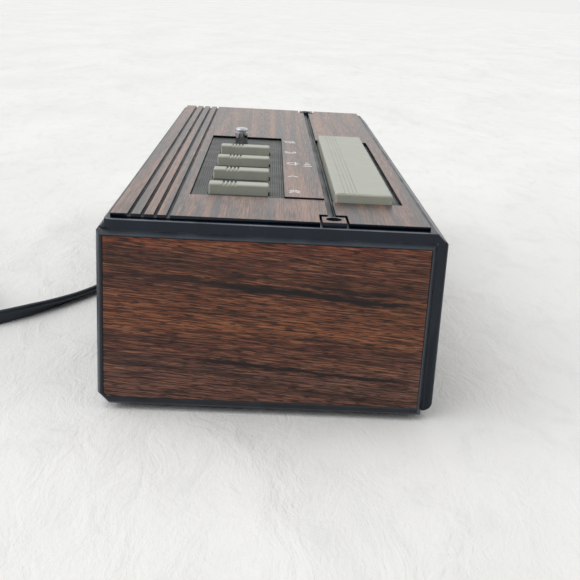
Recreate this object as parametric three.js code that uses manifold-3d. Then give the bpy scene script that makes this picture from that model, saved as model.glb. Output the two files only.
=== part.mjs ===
// Table-top LED clock radio with wood-grain end panels, in millimetres, +Z up.
// The front faces -Y, the left end -X, and the feet stand on Z = 0.

import * as THREE from 'three';
import { mergeVertices } from 'three/addons/utils/BufferGeometryUtils.js';
import Module from 'manifold-3d';

const wasm = await Module();
wasm.setup();

// ---------------------------------------------------------------- driving dimensions

const HALF_LENGTH = 135; // to the raised face of each end
const HALF_DEPTH = 51.75;
const END_STEP = 1.5; // how far each end face stands proud of the top shell
const END_CHAMFER = 0.9; // width of the chamfer round each end face
const SHELL_HALF = HALF_LENGTH - END_STEP;
const WALL = 2.5;
const GAP = 0.3; // between pieces that meet
const FIT = 0.05; // between a flat sheet and what it is glued to
const WHEEL_PROUD = 3.5; // thumbwheels stand out of the right end by this much
const CENTRE_SHIFT = -WHEEL_PROUD / 2; // puts the origin at the middle of the whole footprint

const FOOT_HEIGHT = 1.6;
const PARTING_Z = 56.4; // joint between tub and top shell
const LEDGE_Z = 59.9; // top of the black shell
const TOP_Z = 61.2; // top of the wood-grain panels
const CEILING_Z = LEDGE_Z - WALL; // underside of the top shell
const UNDER_TOP = 50; // cutters through the top start inside the case
const OVER_TOP = 70; // and end clear above it
const FLOOR_Z = FOOT_HEIGHT + WALL; // upper face of the tub's floor
const CAVITY_HALF = 130.5; // inner face of each end wall
const REAR_INNER = HALF_DEPTH - WALL;
const FRONT_BACK = -48.3; // rear face of the front wall

const INLAY = { y0: -46.8, y1: 49.8, z0: 4.3, z1: 55.05, corner: 1.2, depth: 1, clear: 0.1 }; // end panels

const PANEL_HALF = 131.6; // half length of the wood-grain top
const PANEL_REAR = 47.95;
const PANEL_FRONT = -46.25;
const CHANNEL_REAR = -16.25; // channel that runs the length of the top
const CHANNEL_FRONT = -18.75;
const GROOVES = { y: [31.1, 34.85, 38.65, 42.45], width: 1.1, depth: 0.9 }; // along the rear panel

const BUTTON_X = [-91.1, -64.9, -38.7, -12.5];
const BUTTON_Y = 11.85;
const BUTTON_SIZE = { x: 6, y: 19.8 };
const BUTTON_TOP = TOP_Z + 2.4;
const BUTTON_NOTCHES = [5.05, 3.75, 2.45, 1.15]; // from the button's middle, along Y
const PUSH_ROD = { x: 13.7, y: 14.35, radius: 2.7, top: TOP_Z + 6 };
const SLOT_CLEARANCE = 0.4; // round a button in its slot
const PUSH_FOOT_Z = 53.9; // lower end of every push control, just above its contact
const FLANGE_Z = 55.4; // lower face of the flange that keeps a push control in
const FLANGE_TOP = CEILING_Z - 0.4;

const CONTROL_AREA = { x0: -101, x1: 26.3, y0: -3.25, y1: 27.35 };
const SNOOZE = { x0: -102.8, x1: 22.5, y0: -38.25, y1: -19.55, top: TOP_Z + 2.9, wall: 2 };
const SNOOZE_LINES = [-22.85, -24.25, -25.5, -26.75];
const SNOOZE_AREA = { x0: -103.5, x1: 25.6, y0: -41.5 };

const PAD = { x0: -131.6, x1: -124.3, y0: -21.45, y1: -14.25 }; // left one; the right is mirrored
const PAD_MARGIN = { x: 2.7, y: 0.7 }; // groove between a screw pad and the panels round it
const TOP_SCREW = { x: 127.3, y: -17.75, head: 2.2, bore: 1.7, z: LEDGE_Z + 0.5 };
const BASE_SCREW = { x: 124, y: 43, head: 3, bore: 1.9, z: 2.9 };

const DISPLAY_OPENING = { x0: -124, x1: 22, z0: 13, z1: 51 };
const DIAL_OPENING = { x0: 34, x1: 124, z0: 30, z1: 51 };
const WINDOW_LIP = 2;
const WINDOW_FACE = -51.35;

const WHEEL_Z = 20; // underside of both thumbwheels
const WHEEL_THICK = 5;
const WHEEL_REACH = HALF_LENGTH + WHEEL_PROUD;
const KNURL = 0.8; // depth of the teeth round each thumbwheel
const SHAFT = { radius: 2.5, low: 14, bore: 2.9 };
const TUNING = { x: WHEEL_REACH - 26, y: -20, radius: 26, drum: 16.5 };
const VOLUME = { x: WHEEL_REACH - 13, y: 22, radius: 13 };
const CORD_Z = 27.5; // height of the dial cord loop
const PULLEY = { x: 32, y: TUNING.y - TUNING.drum + 4, radius: 4 }; // in line with the drum's front side
const DIAL_CORD_RADIUS = 0.4;
const POINTER_X = 53; // pointer at the low end of its travel

const SPEAKER = { x: -75, y: 2, radius: 38.5, grille: 31, slots: 9, pitch: 6.4, slot: 2.8 };
const VENTS = { x: -24, pitch: 5, count: 12, width: 2, z0: 20, z1: 44 };
const ANTENNA = { y: 41.5, z: 46, radius: 4.8, x0: 32, x1: 112 };
const BOARD = { x0: 26, x1: 129, y0: -44, y1: 34, z: 7.5, top: 9.1 };
const COMPONENT_TOP = 19.4; // of the two rotary components under the wheels
const CORE = { x: 2, y: 24, z: FLOOR_Z + GAP, width: 40, depth: 15, height: 34 };
const SWITCHES = [
  { name: 'function', x: 56, slot: 14 },
  { name: 'band', x: 88, slot: 10 },
];
const SWITCH_Z = 14;
const SWITCH_SLOT = 3.2; // height of the slot a slider runs in

const CORD_THICK = 2.5;
const RELIEF_X = 95;
const RELIEF_Z = 12;
const RELIEF_TIP = HALF_DEPTH + 12;
const RELIEF_HOLE = 4;
const COIL = { x: -57, y: 148, outer: 37.6, inner: 24.4, height: 11.1 };
const PLUG = { x: -24, y: 184.1, z: 6.1, length: 26, width: 22, thick: 11.8 };
const BLADE = { offset: 6.35, thick: 1.5, width: 6.3, reach: 16 };

// Free lead of the mains cord, from the strain relief to the coil, hand placed.
const LEAD_ROUTE = [
  [95, 64.3, 12],
  [95, 66.3, 11.8],
  [94.2, 70.3, 10.5],
  [91.6, 75.4, 8.3],
  [86.4, 80.6, 6],
  [79.6, 84, 4.2],
  [71.8, 85.3, 3.2],
  [63.5, 84.6, 2.85],
  [54.5, 82.2, 2.8],
  [44.5, 79, 2.8],
  [34, 75.6, 2.4],
  [23.5, 71.2, 1.8],
  [13.5, 68, 1.5],
  [3.5, 66.6, 1.5],
  [-6, 67.2, 1.5],
  [-15.5, 69.7, 1.5],
  [-25, 73.9, 1.6],
  [-35.8, 79.8, 1.9],
  [-46.3, 86.2, 2.4],
  [-55.6, 92.6, 2.8],
  [-63.8, 100.4, 2.8],
  [-70.8, 109.3, 2.8],
];
const TAIL_ROUTE = [
  [-38.6, 184.1, 7.2],
  [-34, 184.1, 6.6],
  [-29, 184.1, 6.2],
  [-24.4, 184.1, 6.1],
];

// ---------------------------------------------------------------- materials

function finish(color, roughness, metalness = 0) {
  return new THREE.MeshStandardMaterial({ color, roughness, metalness });
}

const blackPlastic = finish(0x1e222b, 0.55);
const bevelPlastic = finish(0x23272f, 0.5);
const endWood = finish(0x5c2a1c, 0.45);
const topWood = finish(0x6d4c42, 0.5);
const greyPlastic = finish(0x55595a, 0.6);
const buttonPlastic = finish(0xa9ab9c, 0.5);
const chrome = finish(0xc8ccd0, 0.15, 1);
const screwSteel = finish(0x2b2b2d, 0.4, 1);
const rubber = finish(0x151515, 0.85);
const redWindow = finish(0x3a0a0a, 0.1);
const smokeWindow = finish(0x2a2a2c, 0.1);
const dialBlack = finish(0x0e0e10, 0.6);
const pointerOrange = finish(0xd8521c, 0.5);
const circuitBoard = finish(0x8a6a2c, 0.6);
const chipBlack = finish(0x111113, 0.5);
const darkSteel = finish(0x6f7276, 0.4, 1);
const copper = finish(0xb0602c, 0.35, 1);
const ferrite = finish(0x2c2c2f, 0.7);
const bronze = finish(0xa88648, 0.35, 1);
const paper = finish(0x1a1a1a, 0.9);
const capacitorSleeve = finish(0x1d2c55, 0.4);
const whitePlastic = finish(0xd8d6cc, 0.6);
const cordVinyl = finish(0x16181b, 0.6);
const brass = finish(0xb99a55, 0.3, 1);

// ---------------------------------------------------------------- shape helpers

const AXES = {
  x: new THREE.Matrix4().makeBasis(
    new THREE.Vector3(0, 1, 0), new THREE.Vector3(0, 0, 1), new THREE.Vector3(1, 0, 0)),
  y: new THREE.Matrix4().makeBasis(
    new THREE.Vector3(0, 0, 1), new THREE.Vector3(1, 0, 0), new THREE.Vector3(0, 1, 0)),
  z: new THREE.Matrix4(),
};

// Box between two corners.
function block(x0, x1, y0, y1, z0, z1) {
  const geometry = new THREE.BoxGeometry(x1 - x0, y1 - y0, z1 - z0);
  return geometry.translate((x0 + x1) / 2, (y0 + y1) / 2, (z0 + z1) / 2);
}

// The range between an inner and an outer distance on one side of the middle, smaller value first.
function mirrored(side, inner, outer) {
  return side < 0 ? [-outer, -inner] : [inner, outer];
}

function shapeOf(outline) {
  return new THREE.Shape(outline.map(([a, b]) => new THREE.Vector2(a, b)));
}

// Outline swept along an axis. It is drawn in (Y, Z) for x, (Z, X) for y and (X, Y) for z.
// Both ends may narrow by an inset over the length of a bevel.
function prism(axis, outline, from, to, bevel = 0, inset = bevel) {
  const shape = outline instanceof THREE.Shape ? outline : shapeOf(outline);
  const geometry = new THREE.ExtrudeGeometry(shape, {
    depth: to - from - 2 * bevel,
    bevelEnabled: bevel > 0,
    bevelThickness: bevel,
    bevelSize: inset,
    bevelOffset: -inset,
    bevelSegments: 1,
    curveSegments: 6,
  });
  return geometry.translate(0, 0, from + bevel).applyMatrix4(AXES[axis]);
}

// Round bar along an axis, through the point (a, b) of the plane that prism draws in.
function rod(axis, a, b, radius, from, to, sides = 24) {
  const geometry = new THREE.CylinderGeometry(radius, radius, to - from, sides);
  geometry.rotateX(Math.PI / 2).translate(a, b, (from + to) / 2);
  return geometry.applyMatrix4(AXES[axis]);
}

// Turned shape about Z from a profile of [radius, z] points.
function turned(profile, sides = 32) {
  const points = profile.map(([r, z]) => new THREE.Vector2(r, z));
  return new THREE.LatheGeometry(points, sides).rotateX(Math.PI / 2);
}

// Rectangle with round corners, of one radius along its front side and another along its rear side.
function roundedRectangle(x0, x1, y0, y1, front, rear) {
  const shape = new THREE.Shape();
  shape.absarc(x1 - rear, y1 - rear, rear, 0, Math.PI / 2);
  shape.absarc(x0 + rear, y1 - rear, rear, Math.PI / 2, Math.PI);
  shape.absarc(x0 + front, y0 + front, front, Math.PI, 1.5 * Math.PI);
  shape.absarc(x1 - front, y0 + front, front, 1.5 * Math.PI, 2 * Math.PI);
  return shape;
}

function solidOf(geometry) {
  const bare = geometry.clone();
  bare.deleteAttribute('normal');
  bare.deleteAttribute('uv');
  const merged = mergeVertices(bare, 1e-4);
  return new wasm.Manifold(new wasm.Mesh({
    numProp: 3,
    vertProperties: new Float32Array(merged.attributes.position.array),
    triVerts: new Uint32Array(merged.index.array),
  }));
}

function geometryOf(solid) {
  const mesh = solid.getMesh();
  const geometry = new THREE.BufferGeometry();
  geometry.setAttribute('position', new THREE.BufferAttribute(mesh.vertProperties, 3));
  geometry.setIndex(new THREE.BufferAttribute(mesh.triVerts, 1));
  return geometry;
}

function combine(operation, first, others) {
  const result = others.reduce((solid, other) => solid[operation](solidOf(other)), solidOf(first));
  return geometryOf(result);
}

const join = (first, ...others) => combine('add', first, others);
const cut = (first, ...others) => combine('subtract', first, others);
const overlap = (first, ...others) => combine('intersect', first, others);

// ---------------------------------------------------------------- assembly

const radio = new THREE.Group();
radio.position.x = CENTRE_SHIFT;

function add(name, geometry, material, x = 0, y = 0, z = 0) {
  const mesh = new THREE.Mesh(geometry, material);
  mesh.name = name;
  mesh.position.set(x, y, z);
  radio.add(mesh);
  return mesh;
}

// ---------------------------------------------------------------- case

// Floor, rear wall and both ends in one moulding. Each end carries a raised, bevelled face.
function makeTub() {
  const front = -48;
  const top = PARTING_Z - GAP / 2;
  const corner = 3.5;
  const outline = [
    [front, FOOT_HEIGHT],
    [HALF_DEPTH - corner, FOOT_HEIGHT],
    [HALF_DEPTH, FOOT_HEIGHT + corner],
    [HALF_DEPTH, top],
    [front, top],
  ];
  const body = prism('x', outline, -HALF_LENGTH, HALF_LENGTH, END_STEP, END_CHAMFER);
  const cavity = block(-CAVITY_HALF, CAVITY_HALF, front - 1, REAR_INNER, FLOOR_Z, OVER_TOP);
  const tub = cut(body, cavity, ...inlayPockets(), ...wheelSlots(), ...ventSlots(), ...speakerSlots());
  const reliefHole = rod('y', RELIEF_Z, RELIEF_X, RELIEF_HOLE, REAR_INNER - 1, HALF_DEPTH + 1);
  const posts = [-1, 1].flatMap((side) => [topScrewBoss(side), baseScrewBoss(side)]);
  const cradles = [45, 95].map(antennaCradle);
  const drillings = [-1, 1].flatMap(tubDrillings);
  return cut(join(tub, ...posts, ...cradles), reliefHole, ...drillings);
}

// Screw holes on one side of the tub: one from above, one from below with a counterbore.
function tubDrillings(side) {
  const { x, y, head, bore } = BASE_SCREW;
  return [
    rod('z', side * TOP_SCREW.x, TOP_SCREW.y, TOP_SCREW.bore, 44, PARTING_Z, 16),
    rod('z', side * x, y, bore, 0, 9, 16),
    rod('z', side * x, y, head + GAP, 0, 5),
  ];
}

// Outline of an end panel in (Y, Z), less a margin, with its lower rear corner cut off.
function inlayOutline(margin) {
  const { y0, y1, z0, z1, corner } = INLAY;
  return [
    [y0 + margin, z0 + margin],
    [y1 - corner, z0 + margin],
    [y1 - margin, z0 + corner],
    [y1 - margin, z1 - margin],
    [y0 + margin, z1 - margin],
  ];
}

function inlayPockets() {
  return [-1, 1].map((side) => {
    const x = mirrored(side, HALF_LENGTH - INLAY.depth, HALF_LENGTH + 1);
    return prism('x', inlayOutline(0), ...x);
  });
}

// Openings in the right end where the two thumbwheels stand out.
function wheelSlots() {
  const clear = 0.8;
  return [TUNING, VOLUME].map(({ x, y, radius }) => {
    const half = Math.sqrt(radius ** 2 - (CAVITY_HALF - x) ** 2) + 1;
    const z = [WHEEL_Z - clear, WHEEL_Z + WHEEL_THICK + clear];
    return block(CAVITY_HALF - 1, HALF_LENGTH + 1, y - half, y + half, ...z);
  });
}

// Upright vents in the rear wall behind the transformer.
function ventSlots() {
  const { pitch, count, width, z0, z1 } = VENTS;
  return Array.from({ length: count }, (_, i) => {
    const x = VENTS.x + pitch * i;
    return block(x - width / 2, x + width / 2, REAR_INNER - 1, HALF_DEPTH + 1, z0, z1);
  });
}

// Parallel slots under the speaker, each as long as the grille's circle is wide there.
function speakerSlots() {
  const { y, grille, slots, pitch, slot } = SPEAKER;
  return Array.from({ length: slots }, (_, i) => {
    const offset = pitch * (i - (slots - 1) / 2);
    const half = Math.sqrt(grille ** 2 - offset ** 2);
    const x = SPEAKER.x + offset;
    return block(x - slot / 2, x + slot / 2, y - half, y + half, 0, FLOOR_Z + 1);
  });
}

function topScrewBoss(side) {
  const half = 3.6;
  const { x, y } = TOP_SCREW;
  return block(...mirrored(side, x - half, CAVITY_HALF + 1), y - half, y + half, 40, PARTING_Z - GAP / 2);
}

function baseScrewBoss(side) {
  return rod('z', side * BASE_SCREW.x, BASE_SCREW.y, 5, FLOOR_Z - 1, 7.4);
}

// Rib on the rear wall with a notch that the ferrite rod lies in.
function antennaCradle(x) {
  const rib = block(x - 1.5, x + 1.5, 34, REAR_INNER + 1, 30, 44);
  return cut(rib, rod('x', ANTENNA.y, ANTENNA.z, ANTENNA.radius + GAP, x - 5, x + 5));
}

// Cross-section of the top and front walls in (Y, Z): a stepped rear edge, a slope down to the
// parting line at the front and a round lower front corner.
function shellSection(low) {
  const shape = new THREE.Shape();
  const corner = 3.2;
  const bottom = 3.1;
  shape.moveTo(HALF_DEPTH - 0.15, low);
  shape.lineTo(49.9, 58.7);
  shape.lineTo(49.5, LEDGE_Z);
  shape.lineTo(-48.4, LEDGE_Z);
  shape.lineTo(-HALF_DEPTH, low);
  shape.lineTo(-HALF_DEPTH, bottom + corner);
  shape.absarc(-HALF_DEPTH + corner, bottom + corner, corner, Math.PI, 1.5 * Math.PI);
  shape.lineTo(FRONT_BACK, bottom);
  shape.lineTo(FRONT_BACK, low);
  return shape;
}

// Top and front walls in one moulding, with every opening for controls and windows.
function makeTopShell() {
  const corners = [1, 5.5];
  const walls = prism('x', shellSection(PARTING_Z + GAP / 2), -SHELL_HALF, SHELL_HALF);
  const outline = roundedRectangle(-SHELL_HALF, SHELL_HALF, -HALF_DEPTH, HALF_DEPTH, ...corners);
  const cavity = block(-CAVITY_HALF, CAVITY_HALF, FRONT_BACK, 49, UNDER_TOP, CEILING_Z);
  const shell = cut(overlap(walls, prism('z', outline, 0, OVER_TOP)), cavity);
  const posts = [-1, 1].map((side) => (
    rod('z', side * BASE_SCREW.x, BASE_SCREW.y, 3.9, 7.8, CEILING_Z + 1)
  ));
  return cut(join(shell, ...posts), ...controlOpenings(), ...frontOpenings(), ...shellDrillings());
}

function controlOpenings() {
  const { x0, x1, y0, y1 } = CONTROL_AREA;
  const clear = 0.5;
  const pocket = block(x0, x1, y0, y1, LEDGE_Z - 0.3, OVER_TOP);
  const snooze = block(
    SNOOZE.x0 - clear, SNOOZE.x1 + clear, SNOOZE.y0 - clear, SNOOZE.y1 + clear, UNDER_TOP, OVER_TOP);
  const grooveHalf = -PAD.x1 - PAD_MARGIN.x;
  const grooveY = [CHANNEL_FRONT, CHANNEL_FRONT + 0.95];
  const groove = block(-grooveHalf, grooveHalf, ...grooveY, LEDGE_Z - 0.9, OVER_TOP);
  return [pocket, snooze, groove, ...pushOpenings()];
}

// Slots for the four buttons and the hole for the push rod, with running clearance.
function pushOpenings() {
  const a = BUTTON_SIZE.x / 2 + SLOT_CLEARANCE;
  const b = BUTTON_SIZE.y / 2 + SLOT_CLEARANCE;
  const slots = BUTTON_X.map((x) => (
    block(x - a, x + a, BUTTON_Y - b, BUTTON_Y + b, UNDER_TOP, OVER_TOP)
  ));
  const hole = rod('z', PUSH_ROD.x, PUSH_ROD.y, PUSH_ROD.radius + SLOT_CLEARANCE, UNDER_TOP, OVER_TOP);
  return [...slots, hole];
}

// Cutters for both windows, for both slide switches and for the trays round their sliders.
function frontOpenings() {
  const through = [-HALF_DEPTH - 1, FRONT_BACK + 1];
  const trayFloor = -50.55;
  const windows = [DISPLAY_OPENING, DIAL_OPENING].map(({ x0, x1, z0, z1 }) => (
    block(x0, x1, ...through, z0, z1)
  ));
  const slots = SWITCHES.map(({ x, slot }) => (
    block(x - slot / 2, x + slot / 2, ...through, SWITCH_Z - SWITCH_SLOT / 2, SWITCH_Z + SWITCH_SLOT / 2)
  ));
  const trays = SWITCHES.map(({ x, slot }) => {
    const half = slot / 2 + 3;
    return block(x - half, x + half, -HALF_DEPTH - 1, trayFloor, SWITCH_Z - 4, SWITCH_Z + 4);
  });
  return [...windows, ...slots, ...trays];
}

function shellDrillings() {
  const { x, y, head, bore } = TOP_SCREW;
  return [-1, 1].flatMap((side) => [
    rod('z', side * x, y, bore, UNDER_TOP, OVER_TOP, 16),
    rod('z', side * x, y, head + 0.4, LEDGE_Z - 1.2, OVER_TOP),
    rod('z', side * BASE_SCREW.x, BASE_SCREW.y, 1.6, 0, 20, 16),
  ]);
}

function makeInlay(side) {
  const x = mirrored(side, HALF_LENGTH - INLAY.depth + FIT, HALF_LENGTH - 0.1);
  const panel = prism('x', inlayOutline(INLAY.clear), ...x);
  return side < 0 ? panel : cut(panel, ...wheelSlots());
}

add('base_tub', makeTub(), bevelPlastic);
add('top_shell', makeTopShell(), blackPlastic);
add('left_end_inlay', makeInlay(-1), endWood);
add('right_end_inlay', makeInlay(1), endWood);

// ---------------------------------------------------------------- wood-grain top

const PANEL_BOTTOM = LEDGE_Z + FIT;

// Cutters that clear the corner round each screw pad.
function padClearances() {
  return [-1, 1].map((side) => {
    const x = mirrored(side, -PAD.x1 - PAD_MARGIN.x, HALF_LENGTH);
    return block(...x, PAD.y0 - PAD_MARGIN.y, PAD.y1 + PAD_MARGIN.y, UNDER_TOP, OVER_TOP);
  });
}

// Rear panel: four grooves along it and a bay for the push buttons and their label plate.
function makeRearPanel() {
  const { x0, x1, y1 } = CONTROL_AREA;
  const panel = block(-PANEL_HALF, PANEL_HALF, CHANNEL_REAR, PANEL_REAR, PANEL_BOTTOM, TOP_Z);
  const bay = block(x0, x1, CHANNEL_REAR - 1, y1, UNDER_TOP, OVER_TOP);
  const half = GROOVES.width / 2;
  const grooves = GROOVES.y.map((y) => (
    block(-HALF_LENGTH, HALF_LENGTH, y - half, y + half, TOP_Z - GROOVES.depth, OVER_TOP)
  ));
  return cut(panel, bay, ...grooves, ...padClearances());
}

// Front panel: a bay for the snooze bar, open to the channel.
function makeFrontPanel() {
  const { x0, x1, y0 } = SNOOZE_AREA;
  const panel = block(-PANEL_HALF, PANEL_HALF, PANEL_FRONT, CHANNEL_FRONT, PANEL_BOTTOM, TOP_Z);
  return cut(panel, block(x0, x1, y0, 0, UNDER_TOP, OVER_TOP), ...padClearances());
}

// Plate between the channel and the buttons, a little proud of the panels, with an open joint at each end.
function makeLabelPlate() {
  const { x0, x1, y0 } = CONTROL_AREA;
  const joint = { left: 1, right: 0.5, rear: 0.1 };
  const proud = 0.4;
  const y = [CHANNEL_REAR, y0 - joint.rear];
  return block(x0 + joint.left, x1 - joint.right, ...y, PANEL_BOTTOM, TOP_Z + proud);
}

function makeControlPlate() {
  const { x0, x1, y0, y1 } = CONTROL_AREA;
  const edge = 0.1;
  const sheet = block(x0 + edge, x1 - edge, y0 + edge, y1 - edge, LEDGE_Z - 0.25, LEDGE_Z + 0.35);
  return cut(sheet, ...pushOpenings());
}

function makePad(side) {
  const pad = block(...mirrored(side, -PAD.x1, -PAD.x0), PAD.y0, PAD.y1, PANEL_BOTTOM, TOP_Z);
  return cut(pad, rod('z', side * TOP_SCREW.x, TOP_SCREW.y, TOP_SCREW.head + 0.15, UNDER_TOP, OVER_TOP));
}

add('rear_top_panel', makeRearPanel(), topWood);
add('front_top_panel', makeFrontPanel(), topWood);
add('label_plate', makeLabelPlate(), topWood);
add('control_plate', makeControlPlate(), greyPlastic);
add('left_screw_pad', makePad(-1), topWood);
add('right_screw_pad', makePad(1), topWood);

// ---------------------------------------------------------------- fasteners and feet

// Cross-recess screw, its head's top face at Z = 0 and its shank pointing down.
function makeScrew(headRadius, headHeight, shankRadius, length) {
  const profile = [
    [0, -length],
    [shankRadius * 0.5, -length],
    [shankRadius, -length + 2],
    [shankRadius, -headHeight],
    [headRadius, -headHeight],
    [headRadius, -0.4],
    [headRadius - 0.4, 0],
    [0, 0],
  ];
  const arm = headRadius * 0.55;
  const half = 0.35;
  const depth = -0.9;
  return cut(
    turned(profile, 20),
    block(-arm, arm, -half, half, depth, 1),
    block(-half, half, -arm, arm, depth, 1),
  );
}

for (const [side, word] of [[-1, 'left'], [1, 'right']]) {
  const topScrew = makeScrew(TOP_SCREW.head, 1.3, 1.4, 14);
  add(`${word}_top_screw`, topScrew, screwSteel, side * TOP_SCREW.x, TOP_SCREW.y, TOP_SCREW.z);
  const screw = makeScrew(BASE_SCREW.head, 1.8, 1.35, 15);
  const baseScrew = add(
    `${word}_base_screw`, screw, screwSteel, side * BASE_SCREW.x, BASE_SCREW.y, BASE_SCREW.z);
  baseScrew.rotation.x = Math.PI;
}

for (const [name, x, y] of [
  ['front_left_foot', -112, -38], ['front_right_foot', 112, -38],
  ['rear_left_foot', -108, 38], ['rear_right_foot', 108, 38],
]) {
  const foot = turned([[0, 0], [5.4, 0], [6, 0.6], [6, FOOT_HEIGHT - FIT], [0, FOOT_HEIGHT - FIT]], 24);
  add(name, foot, rubber, x, y, 0);
}

// ---------------------------------------------------------------- push controls on the top

// Bar that stands through its slot, with a flange under the top shell and a foot that presses a contact.
function makeButton() {
  const { x, y } = BUTTON_SIZE;
  const lip = 1.5;
  const notch = 0.35;
  const bar = block(-x / 2, x / 2, -y / 2, y / 2, FLANGE_Z + 0.6, BUTTON_TOP);
  const flange = block(-x / 2 - lip, x / 2 + lip, -y / 2 - lip, y / 2 + lip, FLANGE_Z, FLANGE_TOP);
  const foot = block(-1.5, 1.5, -2, 2, PUSH_FOOT_Z, FLANGE_Z + 0.6);
  const notches = BUTTON_NOTCHES.map((at) => (
    block(-x, x, at - notch, at + notch, BUTTON_TOP - 0.6, OVER_TOP)
  ));
  return cut(join(bar, flange, foot), ...notches);
}

['fast_set_button', 'slow_set_button', 'alarm_button', 'sleep_button'].forEach((name, i) => {
  add(name, makeButton(), buttonPlastic, BUTTON_X[i], BUTTON_Y, 0);
});

// Round push rod with a stepped, domed cap.
function makePushRod() {
  const { radius, top } = PUSH_ROD;
  return turned([
    [0, PUSH_FOOT_Z],
    [1.6, PUSH_FOOT_Z],
    [1.6, FLANGE_Z],
    [4.2, FLANGE_Z],
    [4.2, FLANGE_TOP],
    [radius, FLANGE_TOP],
    [radius, top - 2.1],
    [radius - 0.45, top - 1.8],
    [radius - 0.45, top - 1.4],
    [radius, top - 1.1],
    [radius - 0.15, top - 0.5],
    [radius - 0.7, top - 0.1],
    [0, top],
  ], 28);
}

add('alarm_off_rod', makePushRod(), chrome, PUSH_ROD.x, PUSH_ROD.y, 0);

// Hollow bar, open underneath, with two feet and four lines along its top.
function makeSnoozeBar() {
  const { x0, x1, y0, y1, top, wall } = SNOOZE;
  const low = FLANGE_Z + 0.2;
  const line = 0.22;
  const bar = block(x0, x1, y0, y1, low, top);
  const hollow = block(x0 + wall, x1 - wall, y0 + wall, y1 - wall, low - 1, top - wall - 0.2);
  const ends = [x0, x1].map((x) => block(x - wall, x + wall, y0, y1, low, FLANGE_TOP));
  const feet = [-80, 0].map((x) => block(x - 2, x + 2, -30.4, -26.4, PUSH_FOOT_Z, top - 1));
  const lines = SNOOZE_LINES.map((y) => (
    block(x0 - 1, x1 + 1, y - line, y + line, top - 0.4, OVER_TOP)
  ));
  return cut(join(cut(bar, hollow), ...ends, ...feet), ...lines);
}

add('snooze_bar', makeSnoozeBar(), buttonPlastic);

// ---------------------------------------------------------------- front windows and switches

// Window that fills its opening and has a wider lip behind the front wall.
function makeWindow({ x0, x1, z0, z1 }) {
  const clear = 0.15;
  const back = FRONT_BACK + 1.5;
  const pane = block(x0 + clear, x1 - clear, WINDOW_FACE, back, z0 + clear, z1 - clear);
  const lip = block(
    x0 - WINDOW_LIP, x1 + WINDOW_LIP, FRONT_BACK + GAP, back, z0 - WINDOW_LIP, z1 + WINDOW_LIP);
  return join(pane, lip);
}

add('display_window', makeWindow(DISPLAY_OPENING), redWindow);
add('dial_window', makeWindow(DIAL_OPENING), smokeWindow);

// Slide switch: a thumb piece that runs in a slot of the front wall, and the body behind it.
function makeSlider() {
  const half = 2.6;
  const face = -53.2;
  const thumb = block(-half, half, face, -50.85, -half, half);
  const furrows = [-1.3, 0, 1.3].map((x) => block(x - 0.3, x + 0.3, face - 1, face + 0.5, -5, 5));
  const neck = block(-1.6, 1.6, -51.5, -46.2, -1.2, 1.2);
  const plate = block(-half, half, -47.9, -46.2, -2.4, 2.4);
  return cut(join(thumb, neck, plate), ...furrows);
}

function makeSwitchBody(slot) {
  const half = slot / 2 + 4;
  const run = slot / 2 + 1.4;
  const body = block(-half, half, -48, -40, -4.2, 4.2);
  return cut(body, block(-run, run, -49, -45.9, -2.8, 2.8));
}

for (const { name, x, slot } of SWITCHES) {
  const start = x - slot / 2 + 2;
  add(`${name}_slider`, makeSlider(), whitePlastic, start, 0, SWITCH_Z);
  add(`${name}_switch_body`, makeSwitchBody(slot), darkSteel, x, 0, SWITCH_Z);
}

// ---------------------------------------------------------------- tuning drive and dial

// Knurled wheel outline with the given count of teeth.
function knurledDisc(radius, teeth) {
  const points = [];
  for (let i = 0; i < teeth * 2; i += 1) {
    const angle = (i * Math.PI) / teeth;
    const r = i % 2 ? radius : radius - KNURL;
    points.push([r * Math.cos(angle), r * Math.sin(angle)]);
  }
  return points;
}

// Thumbwheel with a drum for the dial cord above it and a stub shaft into the capacitor below.
function makeTuningWheel() {
  const wheel = prism('z', knurledDisc(TUNING.radius, 48), WHEEL_Z, WHEEL_Z + WHEEL_THICK);
  const flange = TUNING.drum + 0.8;
  const groove = TUNING.drum - DIAL_CORD_RADIUS - 0.2;
  const top = CORD_Z + 1.6;
  const drum = turned([
    [0, WHEEL_Z + 1],
    [flange, WHEEL_Z + 1],
    [flange, CORD_Z - 0.9],
    [groove, CORD_Z - 0.6],
    [groove, CORD_Z + 0.6],
    [flange, CORD_Z + 0.9],
    [flange, top],
    [0, top],
  ], 40);
  const recess = turned([[4, CORD_Z], [13, CORD_Z], [13, top + 1], [4, top + 1], [4, CORD_Z]], 24);
  return join(cut(join(wheel, drum), recess), rod('z', 0, 0, SHAFT.radius, SHAFT.low, WHEEL_Z + 2));
}

function makeVolumeWheel() {
  const wheel = prism('z', knurledDisc(VOLUME.radius, 32), WHEEL_Z, WHEEL_Z + WHEEL_THICK);
  const shaft = rod('z', 0, 0, SHAFT.radius, SHAFT.low, WHEEL_Z + 2);
  const hub = rod('z', 0, 0, 4, WHEEL_Z + 2, WHEEL_Z + WHEEL_THICK + 1.2);
  return join(wheel, shaft, hub);
}

// Rotary component on the main board, from corner to corner, with a bore at (x, y) for a wheel's shaft.
function makeRotaryBody(x0, x1, y0, y1, { x, y }) {
  const body = block(x0, x1, y0, y1, BOARD.top + GAP, COMPONENT_TOP);
  return cut(body, rod('z', x, y, SHAFT.bore, SHAFT.low - 0.4, COMPONENT_TOP + 1));
}

function makeTuningCapacitor() {
  const { x, y } = TUNING;
  return makeRotaryBody(x - 10, x + 10, y - 10, y + 10, TUNING);
}

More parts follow.
